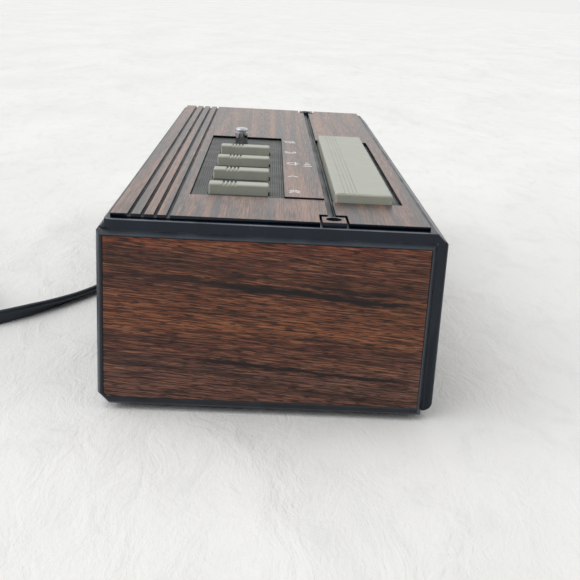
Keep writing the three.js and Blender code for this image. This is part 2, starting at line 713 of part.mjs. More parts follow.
add('tuning_wheel', makeTuningWheel(), blackPlastic, TUNING.x, TUNING.y, 0);
add('tuning_capacitor', makeTuningCapacitor(), whitePlastic);
add('volume_wheel', makeVolumeWheel(), blackPlastic, VOLUME.x, VOLUME.y, 0);
add('volume_pot', makeRotaryBody(110.5, 128.5, VOLUME.y - 8, VOLUME.y + 8, VOLUME), darkSteel);

// Grooved idler that turns on its own stub in the main board.
function makePulley() {
  const flange = PULLEY.radius + 0.6;
  const groove = PULLEY.radius - DIAL_CORD_RADIUS - 0.2;
  return turned([
    [0, BOARD.z],
    [1, BOARD.z],
    [1, CORD_Z - 4],
    [2, CORD_Z - 4],
    [2, CORD_Z - 1.6],
    [flange, CORD_Z - 1.6],
    [groove, CORD_Z - 0.6],
    [groove, CORD_Z + 0.6],
    [flange, CORD_Z + 1.6],
    [0, CORD_Z + 1.6],
  ], 24);
}

add('dial_pulley', makePulley(), whitePlastic, PULLEY.x, PULLEY.y, 0);

// Closed loop of dial cord round the drum and the pulley.
function makeDialCord() {
  const dx = TUNING.x - PULLEY.x;
  const dy = TUNING.y - PULLEY.y;
  const tilt = Math.atan2(dy, dx);
  const open = Math.acos((TUNING.drum - PULLEY.radius) / Math.hypot(dx, dy));
  const band = (extra, reach) => {
    const shape = new THREE.Shape();
    const [start, end] = [tilt - Math.PI + open, tilt + Math.PI - open];
    shape.absarc(TUNING.x, TUNING.y, TUNING.drum + extra, start, end);
    shape.absarc(PULLEY.x, PULLEY.y, PULLEY.radius + extra, end, start + 2 * Math.PI);
    const geometry = new THREE.ExtrudeGeometry(shape, {
      depth: 2 * reach, bevelEnabled: false, curveSegments: 24,
    });
    return geometry.translate(0, 0, CORD_Z - reach);
  };
  return cut(band(DIAL_CORD_RADIUS, DIAL_CORD_RADIUS), band(-DIAL_CORD_RADIUS, 2 * DIAL_CORD_RADIUS));
}

add('dial_cord', makeDialCord(), whitePlastic);

// Needle that stands in front of the dial plate, on a carriage that reaches back to the cord's front run.
function makePointer() {
  const back = TUNING.y - TUNING.drum - 0.8;
  const low = WHEEL_Z + WHEEL_THICK + GAP;
  const needle = { y0: -44.9, y1: -44.1, half: 0.5, top: 49.5 };
  return join(
    block(-3, 3, needle.y0, back, low, low + 1.6),
    block(-3, 3, back - 0.7, back, low, CORD_Z + 0.8),
    block(-needle.half, needle.half, needle.y0, needle.y1, low, needle.top),
  );
}

add('dial_pointer', makePointer(), pointerOrange, POINTER_X, 0, 0);
add('dial_plate', block(36, 122, -43.4, -42.4, 30, 53), dialBlack);

// ---------------------------------------------------------------- circuit boards and display

function makeMainBoard() {
  const { x0, x1, y0, y1, z, top } = BOARD;
  return cut(block(x0, x1, y0, y1, z, top), rod('z', PULLEY.x, PULLEY.y, 1.3, z - 1, top + 1, 16));
}

add('main_board', makeMainBoard(), circuitBoard);
add('clock_board', block(-118, 20, -37.6, -36, 12, 50), circuitBoard);
add('led_display', block(-104, -2, -44.6, -37.9, 20, 45), dialBlack);
add('clock_chip', block(-66, -16, -35.7, -31.9, 24, 38), chipBlack);
add('key_board', block(-106, 29, -4, 27, 49.6, 51.2), circuitBoard);

// Strip with one springy finger under each button and under the push rod.
function makeContactComb() {
  const low = 51.5;
  const half = 1.4;
  const strip = block(-100, 22, 22.5, 26, low, low + 0.4);
  const fingers = [...BUTTON_X, PUSH_ROD.x].flatMap((x) => [
    block(x - half, x + half, 8, 23, low, low + 0.4),
    block(x - half, x + half, 8, 16, low + 0.2, low + 1),
  ]);
  return join(strip, ...fingers);
}

add('contact_comb', makeContactComb(), bronze);

// ---------------------------------------------------------------- power, aerial and speaker

// Laminated core with two windows, standing on the floor.
function makeCore() {
  const { x, y, z, width, depth, height } = CORE;
  const margin = 7;
  const stack = block(x - width / 2, x + width / 2, y - depth / 2, y + depth / 2, z, z + height);
  const windows = [-10, 10].map((offset) => {
    const at = x + offset;
    return block(at - 3.6, at + 3.6, y - depth, y + depth, z + margin, z + height - margin);
  });
  return cut(stack, ...windows);
}

// Winding round the core's middle leg.
function makeWinding() {
  const { x, y, z, depth, height } = CORE;
  const [outer, inner] = [13.2, 6.7];
  const build = 6.5;
  const low = z + 7 + GAP;
  const high = z + height - 7 - GAP;
  const coil = block(x - outer, x + outer, y - depth / 2 - build, y + depth / 2 + build, low, high);
  const leg = block(x - inner, x + inner, y - depth / 2 - GAP, y + depth / 2 + GAP, low - 1, high + 1);
  return cut(coil, leg);
}

add('transformer_core', makeCore(), darkSteel);
add('transformer_winding', makeWinding(), copper);
const capacitor = turned([
  [0, 0], [6, 0], [6, 2], [5.7, 2.4], [5.7, 3], [6, 3.4], [6, 23.6], [5.6, 24], [0, 24],
]);
add('filter_capacitor', capacitor, capacitorSleeve, 44, 12, BOARD.top + GAP);
add('ferrite_rod', rod('x', ANTENNA.y, ANTENNA.z, ANTENNA.radius, ANTENNA.x0, ANTENNA.x1), ferrite);
add('antenna_coil', cut(
  rod('x', ANTENNA.y, ANTENNA.z, ANTENNA.radius + 1.5, 56, 82),
  rod('x', ANTENNA.y, ANTENNA.z, ANTENNA.radius + GAP, 50, 90),
), copper);

// Loudspeaker that fires down through the floor slots: basket, cone and magnet, with open ends.
function addSpeaker() {
  const base = FLOOR_Z + GAP;
  const frame = turned([
    [33.5, 0], [SPEAKER.radius, 0], [SPEAKER.radius, 1.2], [34.6, 1.2], [20, 16], [16, 16.8],
    [10, 16.8], [10, 15.6], [15.6, 15.6], [18.8, 14.6], [33.5, 0.4], [33.5, 0],
  ]);
  const cone = turned([
    [0, 10.6], [6, 10.2], [7.6, 11.8], [30, 0.5], [33, 0.3], [33, 0.8], [30.4, 1.4],
    [7.5, 13], [6, 11.2], [0, 11.6],
  ]);
  const magnet = turned([[0, 17.1], [16, 17.1], [16, 25], [0, 25]]);
  add('speaker_frame', frame, darkSteel, SPEAKER.x, SPEAKER.y, base);
  add('speaker_cone', cone, paper, SPEAKER.x, SPEAKER.y, base);
  add('speaker_magnet', magnet, ferrite, SPEAKER.x, SPEAKER.y, base);
}

addSpeaker();

// ---------------------------------------------------------------- mains cord

// Bushing clamped in the rear wall that tapers towards the cord; turned about Z and laid along +Y.
function makeStrainRelief() {
  const length = RELIEF_TIP - REAR_INNER;
  const neck = RELIEF_HOLE - GAP;
  const collar = 5.5;
  const outside = WALL + GAP;
  const profile = [
    [0, -5.5],
    [3.4, -5.5],
    [collar, -GAP - 2],
    [collar, -GAP],
    [neck, -GAP],
    [neck, outside],
    [collar, outside],
    [collar, outside + 1.5],
    [4.6, outside + 1.7],
    [3.3, length],
    [0, length],
  ];
  return turned(profile, 24).applyMatrix4(AXES.y);
}

add('strain_relief', makeStrainRelief(), cordVinyl, RELIEF_X, REAR_INNER, RELIEF_Z);

// Round bar as thick as the flat cord, along a route.
function makeCordTube(route, steps) {
  const section = new THREE.Shape();
  section.absarc(0, 0, CORD_THICK / 2, 0, 2 * Math.PI);
  const path = new THREE.CatmullRomCurve3(route.map((point) => new THREE.Vector3(...point)));
  return new THREE.ExtrudeGeometry(section, {
    steps, extrudePath: path, bevelEnabled: false, curveSegments: 4,
  });
}

add('cord_lead', makeCordTube(LEAD_ROUTE, 30), cordVinyl);
add('cord_tail', makeCordTube(TAIL_ROUTE, 4), cordVinyl);
add('cord_coil', turned([
  [COIL.inner, FIT], [COIL.outer, FIT], [COIL.outer, COIL.height], [COIL.inner, COIL.height],
  [COIL.inner, FIT],
], 48), cordVinyl, COIL.x, COIL.y, 0);

// Two-blade plug lying on its flat side, blades towards +X.
function makePlugBody() {
  const { length, width, thick } = PLUG;
  const outline = [
    [0, -4],
    [6, -width / 2],
    [length - 2, -width / 2],
    [length, -width / 2 + 2],
    [length, width / 2 - 2],
    [length - 2, width / 2],
    [6, width / 2],
    [0, 4],
  ];
  const sockets = [-1, 1].map((side) => bladeBar(side, length - 4, 0.25));
  return cut(prism('z', outline, -thick / 2, thick / 2, 1.2), ...sockets);
}

// Straight bar where a blade stands, wider on every side by the given amount.
function bladeBar(side, start, extra) {
  const { offset, thick, width, reach } = BLADE;
  const y = [side * offset - thick / 2 - extra, side * offset + thick / 2 + extra];
  return block(start, PLUG.length + reach, ...y, -width / 2 - extra, width / 2 + extra);
}

add('plug_body', makePlugBody(), cordVinyl, PLUG.x, PLUG.y, PLUG.z);
for (const [side, word] of [[-1, 'front'], [1, 'rear']]) {
  add(`plug_blade_${word}`, bladeBar(side, PLUG.length - 3.7, 0), brass, PLUG.x, PLUG.y, PLUG.z);
}

export default radio;
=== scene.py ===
"""Looks of the clock radio: materials, fine shapes, printed marks, mains cord, camera, light and floor.

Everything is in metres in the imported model's frame: +X to the thumbwheel end, -Y to the front, +Z up.
"""

import math

import bmesh
import bpy
from mathutils import Matrix, Vector


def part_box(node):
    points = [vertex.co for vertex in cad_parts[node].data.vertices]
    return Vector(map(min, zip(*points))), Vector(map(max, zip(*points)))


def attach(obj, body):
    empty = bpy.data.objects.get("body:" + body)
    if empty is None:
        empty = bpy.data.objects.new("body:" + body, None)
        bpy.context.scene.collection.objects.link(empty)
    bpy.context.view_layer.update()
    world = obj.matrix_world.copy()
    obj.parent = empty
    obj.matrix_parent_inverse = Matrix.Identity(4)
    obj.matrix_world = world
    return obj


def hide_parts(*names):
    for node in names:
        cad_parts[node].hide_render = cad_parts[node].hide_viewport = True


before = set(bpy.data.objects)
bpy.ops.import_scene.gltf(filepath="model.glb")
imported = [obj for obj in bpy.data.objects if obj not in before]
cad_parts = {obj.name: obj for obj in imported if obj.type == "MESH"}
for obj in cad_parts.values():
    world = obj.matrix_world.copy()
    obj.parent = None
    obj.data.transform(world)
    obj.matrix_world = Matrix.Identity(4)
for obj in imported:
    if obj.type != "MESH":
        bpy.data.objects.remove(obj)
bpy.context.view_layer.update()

MM = 0.001
TAU = 2 * math.pi
CABINET = "cabinet"
SAME_HEIGHT = 1e-7


# ---------------------------------------------------------------- mesh helpers


def link(name, mesh):
    made = bpy.data.objects.new(name, mesh)
    bpy.context.scene.collection.objects.link(made)
    return made


def make_object(name, vertices, faces, smooth=True):
    """A mesh object from plain lists."""
    mesh = bpy.data.meshes.new(name)
    mesh.from_pydata([tuple(v) for v in vertices], [], faces)
    mesh.validate()
    for polygon in mesh.polygons:
        polygon.use_smooth = smooth
    return link(name, mesh)


def swept(name, rings):
    """A closed tube through rings of points that all have the same count."""
    count = len(rings[0])
    faces = []
    for i in range(len(rings) - 1):
        for k in range(count):
            a = i * count + k
            b = i * count + (k + 1) % count
            faces.append((a, b, b + count, a + count))
    last = (len(rings) - 1) * count
    faces.append(tuple(reversed(range(count))))
    faces.append(tuple(range(last, last + count)))
    return make_object(name, [p for ring in rings for p in ring], faces)


def turned(name, profile, centre, axis="Z", segments=64, smooth=True):
    """A turned solid from a profile of (radius, height) in mm that starts and ends on the axis."""
    turn = {"Z": Matrix(), "Y": Matrix.Rotation(-math.pi / 2, 4, "X")}[axis]
    vertices = []
    rows = []
    for radius, height in profile:
        if radius == 0:
            rows.append([len(vertices)])
            vertices.append(Vector((0, 0, height)))
            continue
        rows.append(list(range(len(vertices), len(vertices) + segments)))
        for k in range(segments):
            angle = TAU * k / segments
            vertices.append(Vector((radius * math.cos(angle), radius * math.sin(angle), height)))
    faces = []
    for low, high in zip(rows, rows[1:]):
        for k in range(segments):
            n = (k + 1) % segments
            ring = [low[k % len(low)], low[n % len(low)], high[n % len(high)], high[k % len(high)]]
            faces.append(tuple(dict.fromkeys(ring)))
    placed = [Vector(centre) + (turn @ (v * MM)) for v in vertices]
    return make_object(name, placed, faces, smooth)


def box_mesh(low, high):
    """A bmesh box between two corners."""
    shape = bmesh.new()
    bmesh.ops.create_cube(shape, size=1)
    middle = (Vector(low) + Vector(high)) / 2
    size = Vector(high) - Vector(low)
    placing = Matrix.Translation(middle) @ Matrix.Diagonal((*size, 1))
    bmesh.ops.transform(shape, matrix=placing, verts=shape.verts)
    return shape


def rounded_box(name, low, high, radius, segments=4, keep_bottom=False):
    """A box with round edges; keep_bottom leaves its lower edges sharp."""
    shape = box_mesh(low, high)
    floor = min(v.co.z for v in shape.verts)
    edges = [
        e for e in shape.edges
        if not (keep_bottom and all(abs(v.co.z - floor) < SAME_HEIGHT for v in e.verts))]
    bmesh.ops.bevel(
        shape, geom=edges, offset=radius, segments=segments, profile=0.5, affect="EDGES", clamp_overlap=True)
    mesh = bpy.data.meshes.new(name)
    shape.to_mesh(mesh)
    shape.free()
    made = link(name, mesh)
    smooth_by_angle(made)
    return made


def apply_modifiers(obj):
    bpy.context.view_layer.update()
    evaluated = obj.evaluated_get(bpy.context.evaluated_depsgraph_get())
    mesh = bpy.data.meshes.new_from_object(evaluated)
    obj.modifiers.clear()
    obj.data = mesh
    return obj


def smooth_by_angle(obj, degrees=40):
    """Smooth shading that keeps edges sharper than the angle, and keeps large flat faces flat."""
    for polygon in obj.data.polygons:
        polygon.use_smooth = True
    obj.data.set_sharp_from_angle(angle=math.radians(degrees))
    change = obj.modifiers.new("flat_faces", "WEIGHTED_NORMAL")
    change.keep_sharp = True
    apply_modifiers(obj)


def joined(name, objects):
    """One mesh object out of several, with the others removed."""
    shape = bmesh.new()
    for obj in objects:
        part = obj.data.copy()
        part.transform(obj.matrix_world)
        shape.from_mesh(part)
    mesh = bpy.data.meshes.new(name)
    shape.to_mesh(mesh)
    shape.free()
    for obj in objects:
        bpy.data.objects.remove(obj)
    return link(name, mesh)


# ---------------------------------------------------------------- material builder


def tone(red, green, blue):
    """Linear colour from display values of 0 to 255."""
    shares = [value / 255 for value in (red, green, blue)]
    return (*[s / 12.92 if s <= 0.04045 else ((s + 0.055) / 1.055) ** 2.4 for s in shares], 1)


class Paint:
    """One node material being built; each helper adds a node and gives back its output."""

    def __init__(self, name, **fixed):
        self.material = bpy.data.materials.new(name)
        self.material.use_nodes = True
        self.tree = self.material.node_tree
        self.shader = self.tree.nodes["Principled BSDF"].inputs
        for key, value in fixed.items():
            self.shader[key.replace("_", " ")].default_value = value

    def feed(self, socket, value):
        if isinstance(value, bpy.types.NodeSocket):
            self.tree.links.new(value, socket)
        else:
            socket.default_value = value

    def node(self, kind, inputs, output=0, **settings):
        made = self.tree.nodes.new("ShaderNode" + kind)
        for key, value in settings.items():
            setattr(made, key, value)
        for key, value in inputs.items():
            self.feed(made.inputs[key], value)
        return made.outputs[output]

    def noise(self, size, detail=3, rough=0.5, twist=0, turn=(0, 0, 0), shift=(0, 0, 0)):
        """Cloudy values from 0 to 1 whose spots are size = (x, y, z) mm."""
        spot = self.node("TexCoord", {}, "Object")
        spot = self.node(
            "Mapping", {"Vector": spot, "Location": [s * MM for s in shift], "Rotation": turn,
                        "Scale": [s * MM for s in size]}, vector_type="TEXTURE")
        return self.node(
            "TexNoise", {"Vector": spot, "Scale": 1, "Detail": detail, "Roughness": rough, "Distortion": twist})

    def ramp(self, value, *stops):
        """Colour along the value, through stops of (position, colour)."""
        made = self.tree.nodes.new("ShaderNodeValToRGB")
        elements = made.color_ramp.elements
        elements.remove(elements[1])
        elements[0].position = stops[0][0]
        elements[0].color = stops[0][1]
        for position, colour in stops[1:]:
            elements.new(position).color = colour
        self.feed(made.inputs[0], value)
        return made.outputs[0]

    def level(self, value, low, high, start=0.0, end=1.0):
        """The value eased from start to end as it goes from low to high."""
        return self.node(
            "MapRange", {"Value": value, "From Min": low, "From Max": high, "To Min": start, "To Max": end},
            interpolation_type="SMOOTHSTEP")

    def math(self, operation, first, second=0.0):
        return self.node("Math", {0: first, 1: second}, operation=operation)

    def blend(self, share, first, second, kind="MIX"):
        """The first colour with the second laid over it by that share."""
        return self.node(
            "Mix", {0: share, 6: first, 7: second}, 2, data_type="RGBA", blend_type=kind)

    def axis(self, name):
        """One coordinate of the surface in mm."""
        spot = self.node("TexCoord", {}, "Object")
        return self.math("MULTIPLY", self.node("SeparateXYZ", {0: spot}, name), 1 / MM)

    def relief(self, *layers):
        """Bumps out of layers of (value, depth in mm)."""
        normal = None
        for value, depth in layers:
            inputs = {"Height": value, "Strength": 1, "Distance": depth * MM}
            if normal is not None:
                inputs["Normal"] = normal
            normal = self.node("Bump", inputs)
        self.feed(self.shader["Normal"], normal)

    def finish(self, colour=None, roughness=None):
        if colour is not None:
            self.feed(self.shader["Base Color"], colour)
        if roughness is not None:
            self.feed(self.shader["Roughness"], roughness)
        return self.material


# ---------------------------------------------------------------- materials


def moulded(name, dark, light, gloss, grain=0.35, depth=0.012, scuffs=None, **fixed):
    """Moulded plastic: cloudy tone, fine spark texture and, where given, pale scuffs."""
    paint = Paint(name, **fixed)
    cloud = paint.noise((9, 9, 9), detail=4)
    colour = paint.ramp(cloud, (0.3, dark), (0.7, light))
    spark = paint.noise((grain, grain, grain), detail=2, rough=0.6)
    if scuffs:
        lines = paint.noise((14, 1.2, 3), detail=5, rough=0.7, twist=0.6)
        patches = paint.noise((22, 18, 14), detail=2)
        rubbed = paint.math("MULTIPLY", paint.level(lines, 0.6, 0.74), paint.level(patches, 0.5, 0.68))
        colour = paint.blend(paint.math("MULTIPLY", rubbed, 0.5), colour, scuffs)
    paint.relief((spark, depth), (cloud, depth * 2))
    return paint.finish(colour, paint.level(cloud, 0.3, 0.7, gloss - 0.06, gloss + 0.08))


# Long dark streaks of the end print, in mm: drop below its top edge at the rear end, where
# along the end it starts and stops, half width, and strength.
END_STREAKS = [
    (10.2, 4, 60, 0.8, 0.8),
    (10.9, 32, 99, 1.15, 1.0),
    (7.4, 26, 66, 0.6, 0.6),
    (8.2, 52, 100, 0.55, 0.9),
    (19.6, 22, 52, 0.4, 0.7),
    (24.9, 46, 92, 0.3, 0.55),
    (35.4, 21, 99, 0.6, 0.95),
    (39.4, -4, 48, 0.55, 0.65),
    (42.0, 36, 99, 1.0, 0.45),
    (30.6, -6, 30, 0.4, 0.5),
    (5.6, -6, 34, 2.6, 0.45),
    (6.2, 60, 110, 2.4, 0.42),
    (15.2, 70, 110, 2.2, 0.3),
    (28.4, 50, 99, 2.6, 0.22),
]
END_TOP = 55.0
END_REAR = 50.2
END_SLOPE = 0.072
STREAK_BLACK = tone(25, 18, 20)


def rosewood_tones(paint, size, turn, shift, zones=()):
    """Printed rosewood: broad bands of hue, fibres and short dark pores; size lays (along, across) in mm.

    Zones are pairs of a share and a colour that shift the hue under the fibres.
    """
    bands = paint.noise(size(110, 7), detail=3, rough=0.6, twist=0.2, turn=turn, shift=shift)
    colour = paint.ramp(
        bands, (0.3, tone(68, 40, 37)), (0.43, tone(90, 51, 41)), (0.54, tone(112, 66, 48)),
        (0.68, tone(138, 86, 56)))
    for share, hue in zones:
        colour = paint.blend(share, colour, hue)
    light = paint.noise(size(13, 0.42), detail=3, rough=0.6, turn=turn, shift=[s + 37 for s in shift])
    colour = paint.blend(paint.level(light, 0.46, 0.66, 0, 0.56), colour, tone(164, 112, 82))
    fibres = paint.noise(size(11, 0.4), detail=3, rough=0.6, twist=0.15, turn=turn, shift=shift)
    colour = paint.blend(paint.level(fibres, 0.46, 0.58, 0, 0.76), colour, tone(45, 25, 24))
    pores = paint.noise(size(4.2, 0.26), detail=2, rough=0.5, turn=turn, shift=shift)
    colour = paint.blend(paint.level(pores, 0.54, 0.61, 0, 0.85), colour, tone(30, 21, 22))
    return colour, fibres, pores


def end_wood():
    """Rosewood print whose grain runs along Y and falls a little towards the front."""
    paint = Paint("end_wood", Specular_IOR_Level=0.3)
    tilt = math.atan(END_SLOPE)
    along = paint.math("SUBTRACT", END_REAR, paint.axis("Y"))
    drop = paint.math("SUBTRACT", END_TOP, paint.axis("Z"))
    zones = (
        (paint.level(drop, 0.5, 4.5, 0.5, 0), tone(140, 70, 44)),
        (paint.math("MULTIPLY", paint.level(drop, 13, 19), paint.level(drop, 26, 34, 0.35, 0)),
         tone(146, 86, 50)),
        (paint.level(drop, 31, 44, 0, 0.6), tone(116, 84, 74)),
    )
    colour, fibres, pores = rosewood_tones(
        paint, lambda along, across: (900, along, across), (tilt, 0, 0), (0, 11, 4), zones)
    wave = paint.noise((900, 40, 16), detail=2, turn=(tilt, 0, 0))
    ragged = paint.noise((900, 7, 0.8), detail=3, rough=0.7, turn=(tilt, 0, 0))
    drop = paint.math("SUBTRACT", drop, paint.math("MULTIPLY", along, END_SLOPE))
    drop = paint.math("ADD", drop, paint.level(wave, 0.25, 0.75, -0.6, 0.6))
    drop = paint.math("ADD", drop, paint.level(ragged, 0.2, 0.8, -0.7, 0.7))
    for height, start, stop, half, strength in END_STREAKS:
        away = paint.math("ABSOLUTE", paint.math("SUBTRACT", drop, height))
        band = paint.level(away, half * 0.35, half * 1.8, strength, 0)
        ends = paint.math(
            "MULTIPLY", paint.level(along, start - 6, start + 14), paint.level(along, stop - 14, stop + 6, 1, 0))
        colour = paint.blend(paint.math("MULTIPLY", band, ends), colour, STREAK_BLACK)
    paint.relief((fibres, 0.02), (pores, -0.03))
    return paint.finish(colour, paint.level(fibres, 0.3, 0.7, 0.4, 0.55))


def top_wood():
    """The same print on the top, its grain along X, under a clear satin film."""
    paint = Paint("top_wood", Specular_IOR_Level=0.5, Coat_Weight=0.5, Coat_Roughness=0.28)
    colour, fibres, pores = rosewood_tones(
        paint, lambda along, across: (along, across, 900), (0, 0, math.radians(-1)), (23, 5, 0))
    bars = paint.noise((200, 4.4, 900), detail=3, rough=0.6, twist=0.2)
    colour = paint.blend(paint.level(bars, 0.36, 0.5, 0.45, 0), colour, tone(160, 108, 82))
    colour = paint.blend(paint.level(bars, 0.5, 0.6, 0, 0.92), colour, tone(38, 35, 40))
    veins = paint.noise((120, 1.6, 900), detail=3, rough=0.6, shift=(40, 60, 0))
    colour = paint.blend(paint.level(veins, 0.57, 0.67, 0, 0.8), colour, STREAK_BLACK)
    paint.relief((fibres, 0.02), (pores, -0.025))
    return paint.finish(colour, paint.level(fibres, 0.3, 0.7, 0.34, 0.46))


def brushed(name, colour, gloss, streak=(6, 0.2, 0.2), metal=1.0, depth=0.008):
    """Metal with fine drawing marks and a cloudy polish."""
    paint = Paint(name, Metallic=metal)
    marks = paint.noise(streak, detail=3, rough=0.6)
    cloud = paint.noise((5, 5, 5), detail=2)
    darker = [c * 0.72 for c in colour[:3]] + [1]
    tint = paint.blend(paint.level(marks, 0.35, 0.75), colour, darker)
    paint.relief((marks, depth))
    return paint.finish(tint, paint.level(cloud, 0.3, 0.7, gloss - 0.05, gloss + 0.1))


def button_plastic():
    """Pale grey-green translucent plastic with faint soiling near its edges."""
    paint = Paint(
        "button_plastic", Specular_IOR_Level=0.45, Subsurface_Weight=0.12, Subsurface_Scale=0.002)
    cloud = paint.noise((7, 7, 7), detail=3)
    grime = paint.noise((2.5, 2.5, 1.6), detail=5, rough=0.7)
    spark = paint.noise((0.3, 0.3, 0.3), detail=2)
    colour = paint.ramp(cloud, (0.3, tone(170, 174, 162)), (0.7, tone(180, 182, 170)))
    colour = paint.blend(paint.level(grime, 0.6, 0.8, 0, 0.16), colour, tone(112, 112, 98))
    paint.relief((spark, 0.01), (cloud, 0.02))
    return paint.finish(colour, paint.level(cloud, 0.3, 0.7, 0.32, 0.46))


def window_tint(name, colour, gloss=0.04):
    """Clear tinted acrylic with hairline scratches and a trace of dust."""
    paint = Paint(name, Transmission_Weight=0.92, IOR=1.49)
    scratches = paint.noise((9, 3, 0.12), detail=4, rough=0.7, turn=(0, 0.4, 0))
    dust = paint.noise((1.4, 1.4, 1.4), detail=4, rough=0.7)
    tint = paint.blend(paint.level(dust, 0.6, 0.8, 0, 0.25), colour, tone(90, 84, 82))
    paint.relief((scratches, 0.002))
    return paint.finish(tint, paint.level(scratches, 0.55, 0.8, gloss, gloss + 0.25))


def circuit_board():
    """Phenolic board, with the copper tracks showing dully through its lacquer."""
    paint = Paint("circuit_board", Specular_IOR_Level=0.4)
    spot = paint.node("TexCoord", {}, "Object")
    cells = paint.node(
        "TexVoronoi", {"Vector": spot, "Scale": 190}, "Distance",
        feature="DISTANCE_TO_EDGE", distance="CHEBYCHEV")
    cloud = paint.noise((14, 14, 14), detail=3)
    board = paint.ramp(cloud, (0.3, tone(86, 74, 34)), (0.7, tone(104, 92, 44)))
    colour = paint.blend(paint.level(cells, 0.05, 0.09), tone(58, 92, 52), board)
    paint.relief((cells, 0.03))
    return paint.finish(colour, paint.level(cloud, 0.3, 0.7, 0.4, 0.6))


def winding_wire():
    """Enamelled wire, wound in close turns."""
    paint = Paint("enamel_copper", Metallic=0.7)
    turns = paint.math("SINE", paint.math("MULTIPLY", paint.axis("X"), TAU / 0.45))
    cloud = paint.noise((6, 3, 3), detail=3)
    colour = paint.ramp(cloud, (0.3, tone(120, 60, 26)), (0.7, tone(164, 92, 44)))
    paint.relief((turns, 0.08))
    return paint.finish(colour, paint.level(cloud, 0.3, 0.7, 0.28, 0.42))


def laminated():
    """Stack of thin steel sheets, seen from their edges as fine lines along Y."""
    paint = Paint("black_steel", Metallic=0.6)
    sheets = paint.math("SINE", paint.math("MULTIPLY", paint.axis("Y"), TAU / 0.7))
    cloud = paint.noise((5, 5, 5), detail=4)
    colour = paint.ramp(cloud, (0.35, tone(46, 46, 48)), (0.65, tone(78, 76, 74)))
    paint.relief((sheets, 0.03), (cloud, 0.02))
    return paint.finish(colour, paint.level(cloud, 0.3, 0.7, 0.45, 0.65))


def fibrous(name, dark, light, size, gloss, depth):
    """Paper, rubber or ferrite: an uneven matt surface with fibres or grains."""
    paint = Paint(name, Specular_IOR_Level=0.3)
    fibres = paint.noise(size, detail=5, rough=0.7)
    colour = paint.ramp(fibres, (0.3, dark), (0.7, light))
    paint.relief((fibres, depth))
    return paint.finish(colour, paint.level(fibres, 0.3, 0.7, gloss - 0.06, gloss + 0.08))


def cord_vinyl():
    """Soft black vinyl with a satin skin, dulled by handling."""
    paint = Paint("cord_vinyl", Specular_IOR_Level=0.4)
    handled = paint.noise((16, 16, 16), detail=4)
    skin = paint.noise((0.8, 0.8, 0.8), detail=3)
    colour = paint.ramp(handled, (0.35, tone(22, 30, 39)), (0.65, tone(38, 47, 57)))
    paint.relief((skin, 0.02))
    return paint.finish(colour, paint.level(handled, 0.35, 0.65, 0.36, 0.52))


MATERIALS = {
    "case_black": moulded(
        "case_black", tone(14, 23, 34), tone(22, 34, 47), 0.33,
        scuffs=tone(78, 82, 92), Specular_IOR_Level=0.3),
    "case_bevel": moulded(
        "case_bevel", tone(26, 31, 38), tone(36, 41, 49), 0.36,
        scuffs=tone(92, 92, 98), Specular_IOR_Level=0.35),
    # Lighter grey of the sloping chamfers on the end frames: painted sheen of faces tilted towards the light.
    "chamfer_painted_sheen": moulded(
        "chamfer_painted_sheen", tone(48, 54, 63), tone(64, 70, 79), 0.36,
        scuffs=tone(112, 114, 120), Specular_IOR_Level=0.4),
    # Pale rounded edges of the case: wear, and a painted highlight where the edges catch the light.
    "edge_wear_and_highlight": moulded(
        "edge_wear_and_highlight", tone(76, 81, 92), tone(128, 130, 138), 0.36,
        scuffs=tone(176, 176, 180), Specular_IOR_Level=0.5),
    # Grey of the groove floors in the top panels: painted reflection of light on their black core.
    "groove_painted_reflection": moulded("groove_painted_reflection", tone(44, 46, 48), tone(58, 60, 61), 0.5, grain=0.5),
    "end_wood": end_wood(),
    "top_wood": top_wood(),
    "control_grey": moulded(
        "control_grey", tone(54, 58, 58), tone(70, 74, 73), 0.42,
        grain=0.8, depth=0.03, scuffs=tone(104, 106, 104)),
    "button_plastic": button_plastic(),
    "bright_rod": brushed("bright_rod", tone(214, 216, 222), 0.1, streak=(0.3, 0.3, 3)),
    "black_steel": laminated(),
    "foot_rubber": fibrous("foot_rubber", tone(24, 24, 25), tone(38, 38, 39), (0.5, 0.5, 0.5), 0.75, 0.03),
    "red_window": window_tint("red_window", tone(150, 10, 14)),
    "smoke_window": window_tint("smoke_window", tone(168, 162, 158)),
    "dial_print": moulded("dial_print", tone(14, 14, 16), tone(22, 22, 25), 0.5, grain=0.2, depth=0.006),
    "pointer_orange": moulded("pointer_orange", tone(206, 70, 22), tone(226, 86, 30), 0.35),
    "switch_white": moulded("switch_white", tone(196, 194, 186), tone(212, 210, 202), 0.38),
    "plated_steel": brushed("plated_steel", tone(150, 148, 142), 0.3, streak=(1, 1, 0.2), depth=0.02),
    "circuit_board": circuit_board(),
    "chip_black": moulded("chip_black", tone(26, 26, 28), tone(36, 36, 38), 0.5, grain=0.4, depth=0.02),
    "display_face": moulded("display_face", tone(26, 20, 20), tone(36, 27, 27), 0.4, grain=0.3),
    "contact_bronze": brushed("contact_bronze", tone(196, 148, 84), 0.3, streak=(0.2, 5, 0.2)),
    "enamel_copper": winding_wire(),
    "ferrite": fibrous("ferrite", tone(34, 33, 34), tone(52, 50, 50), (0.4, 0.4, 0.4), 0.6, 0.03),
    "capacitor_sleeve": moulded("capacitor_sleeve", tone(20, 34, 70), tone(28, 46, 88), 0.3),
    "speaker_paper": fibrous("speaker_paper", tone(30, 28, 27), tone(50, 47, 44), (2.4, 2.4, 0.6), 0.85, 0.06),
    "cord_vinyl": cord_vinyl(),
    "blade_brass": brushed("blade_brass", tone(204, 182, 132), 0.24, streak=(5, 0.2, 0.2)),
    "print_white": moulded("print_white", tone(224, 225, 224), tone(238, 239, 238), 0.5, grain=0.2, depth=0.004),
    "segment_grey": moulded("segment_grey", tone(150, 120, 116), tone(170, 140, 134), 0.4, grain=0.2),
}


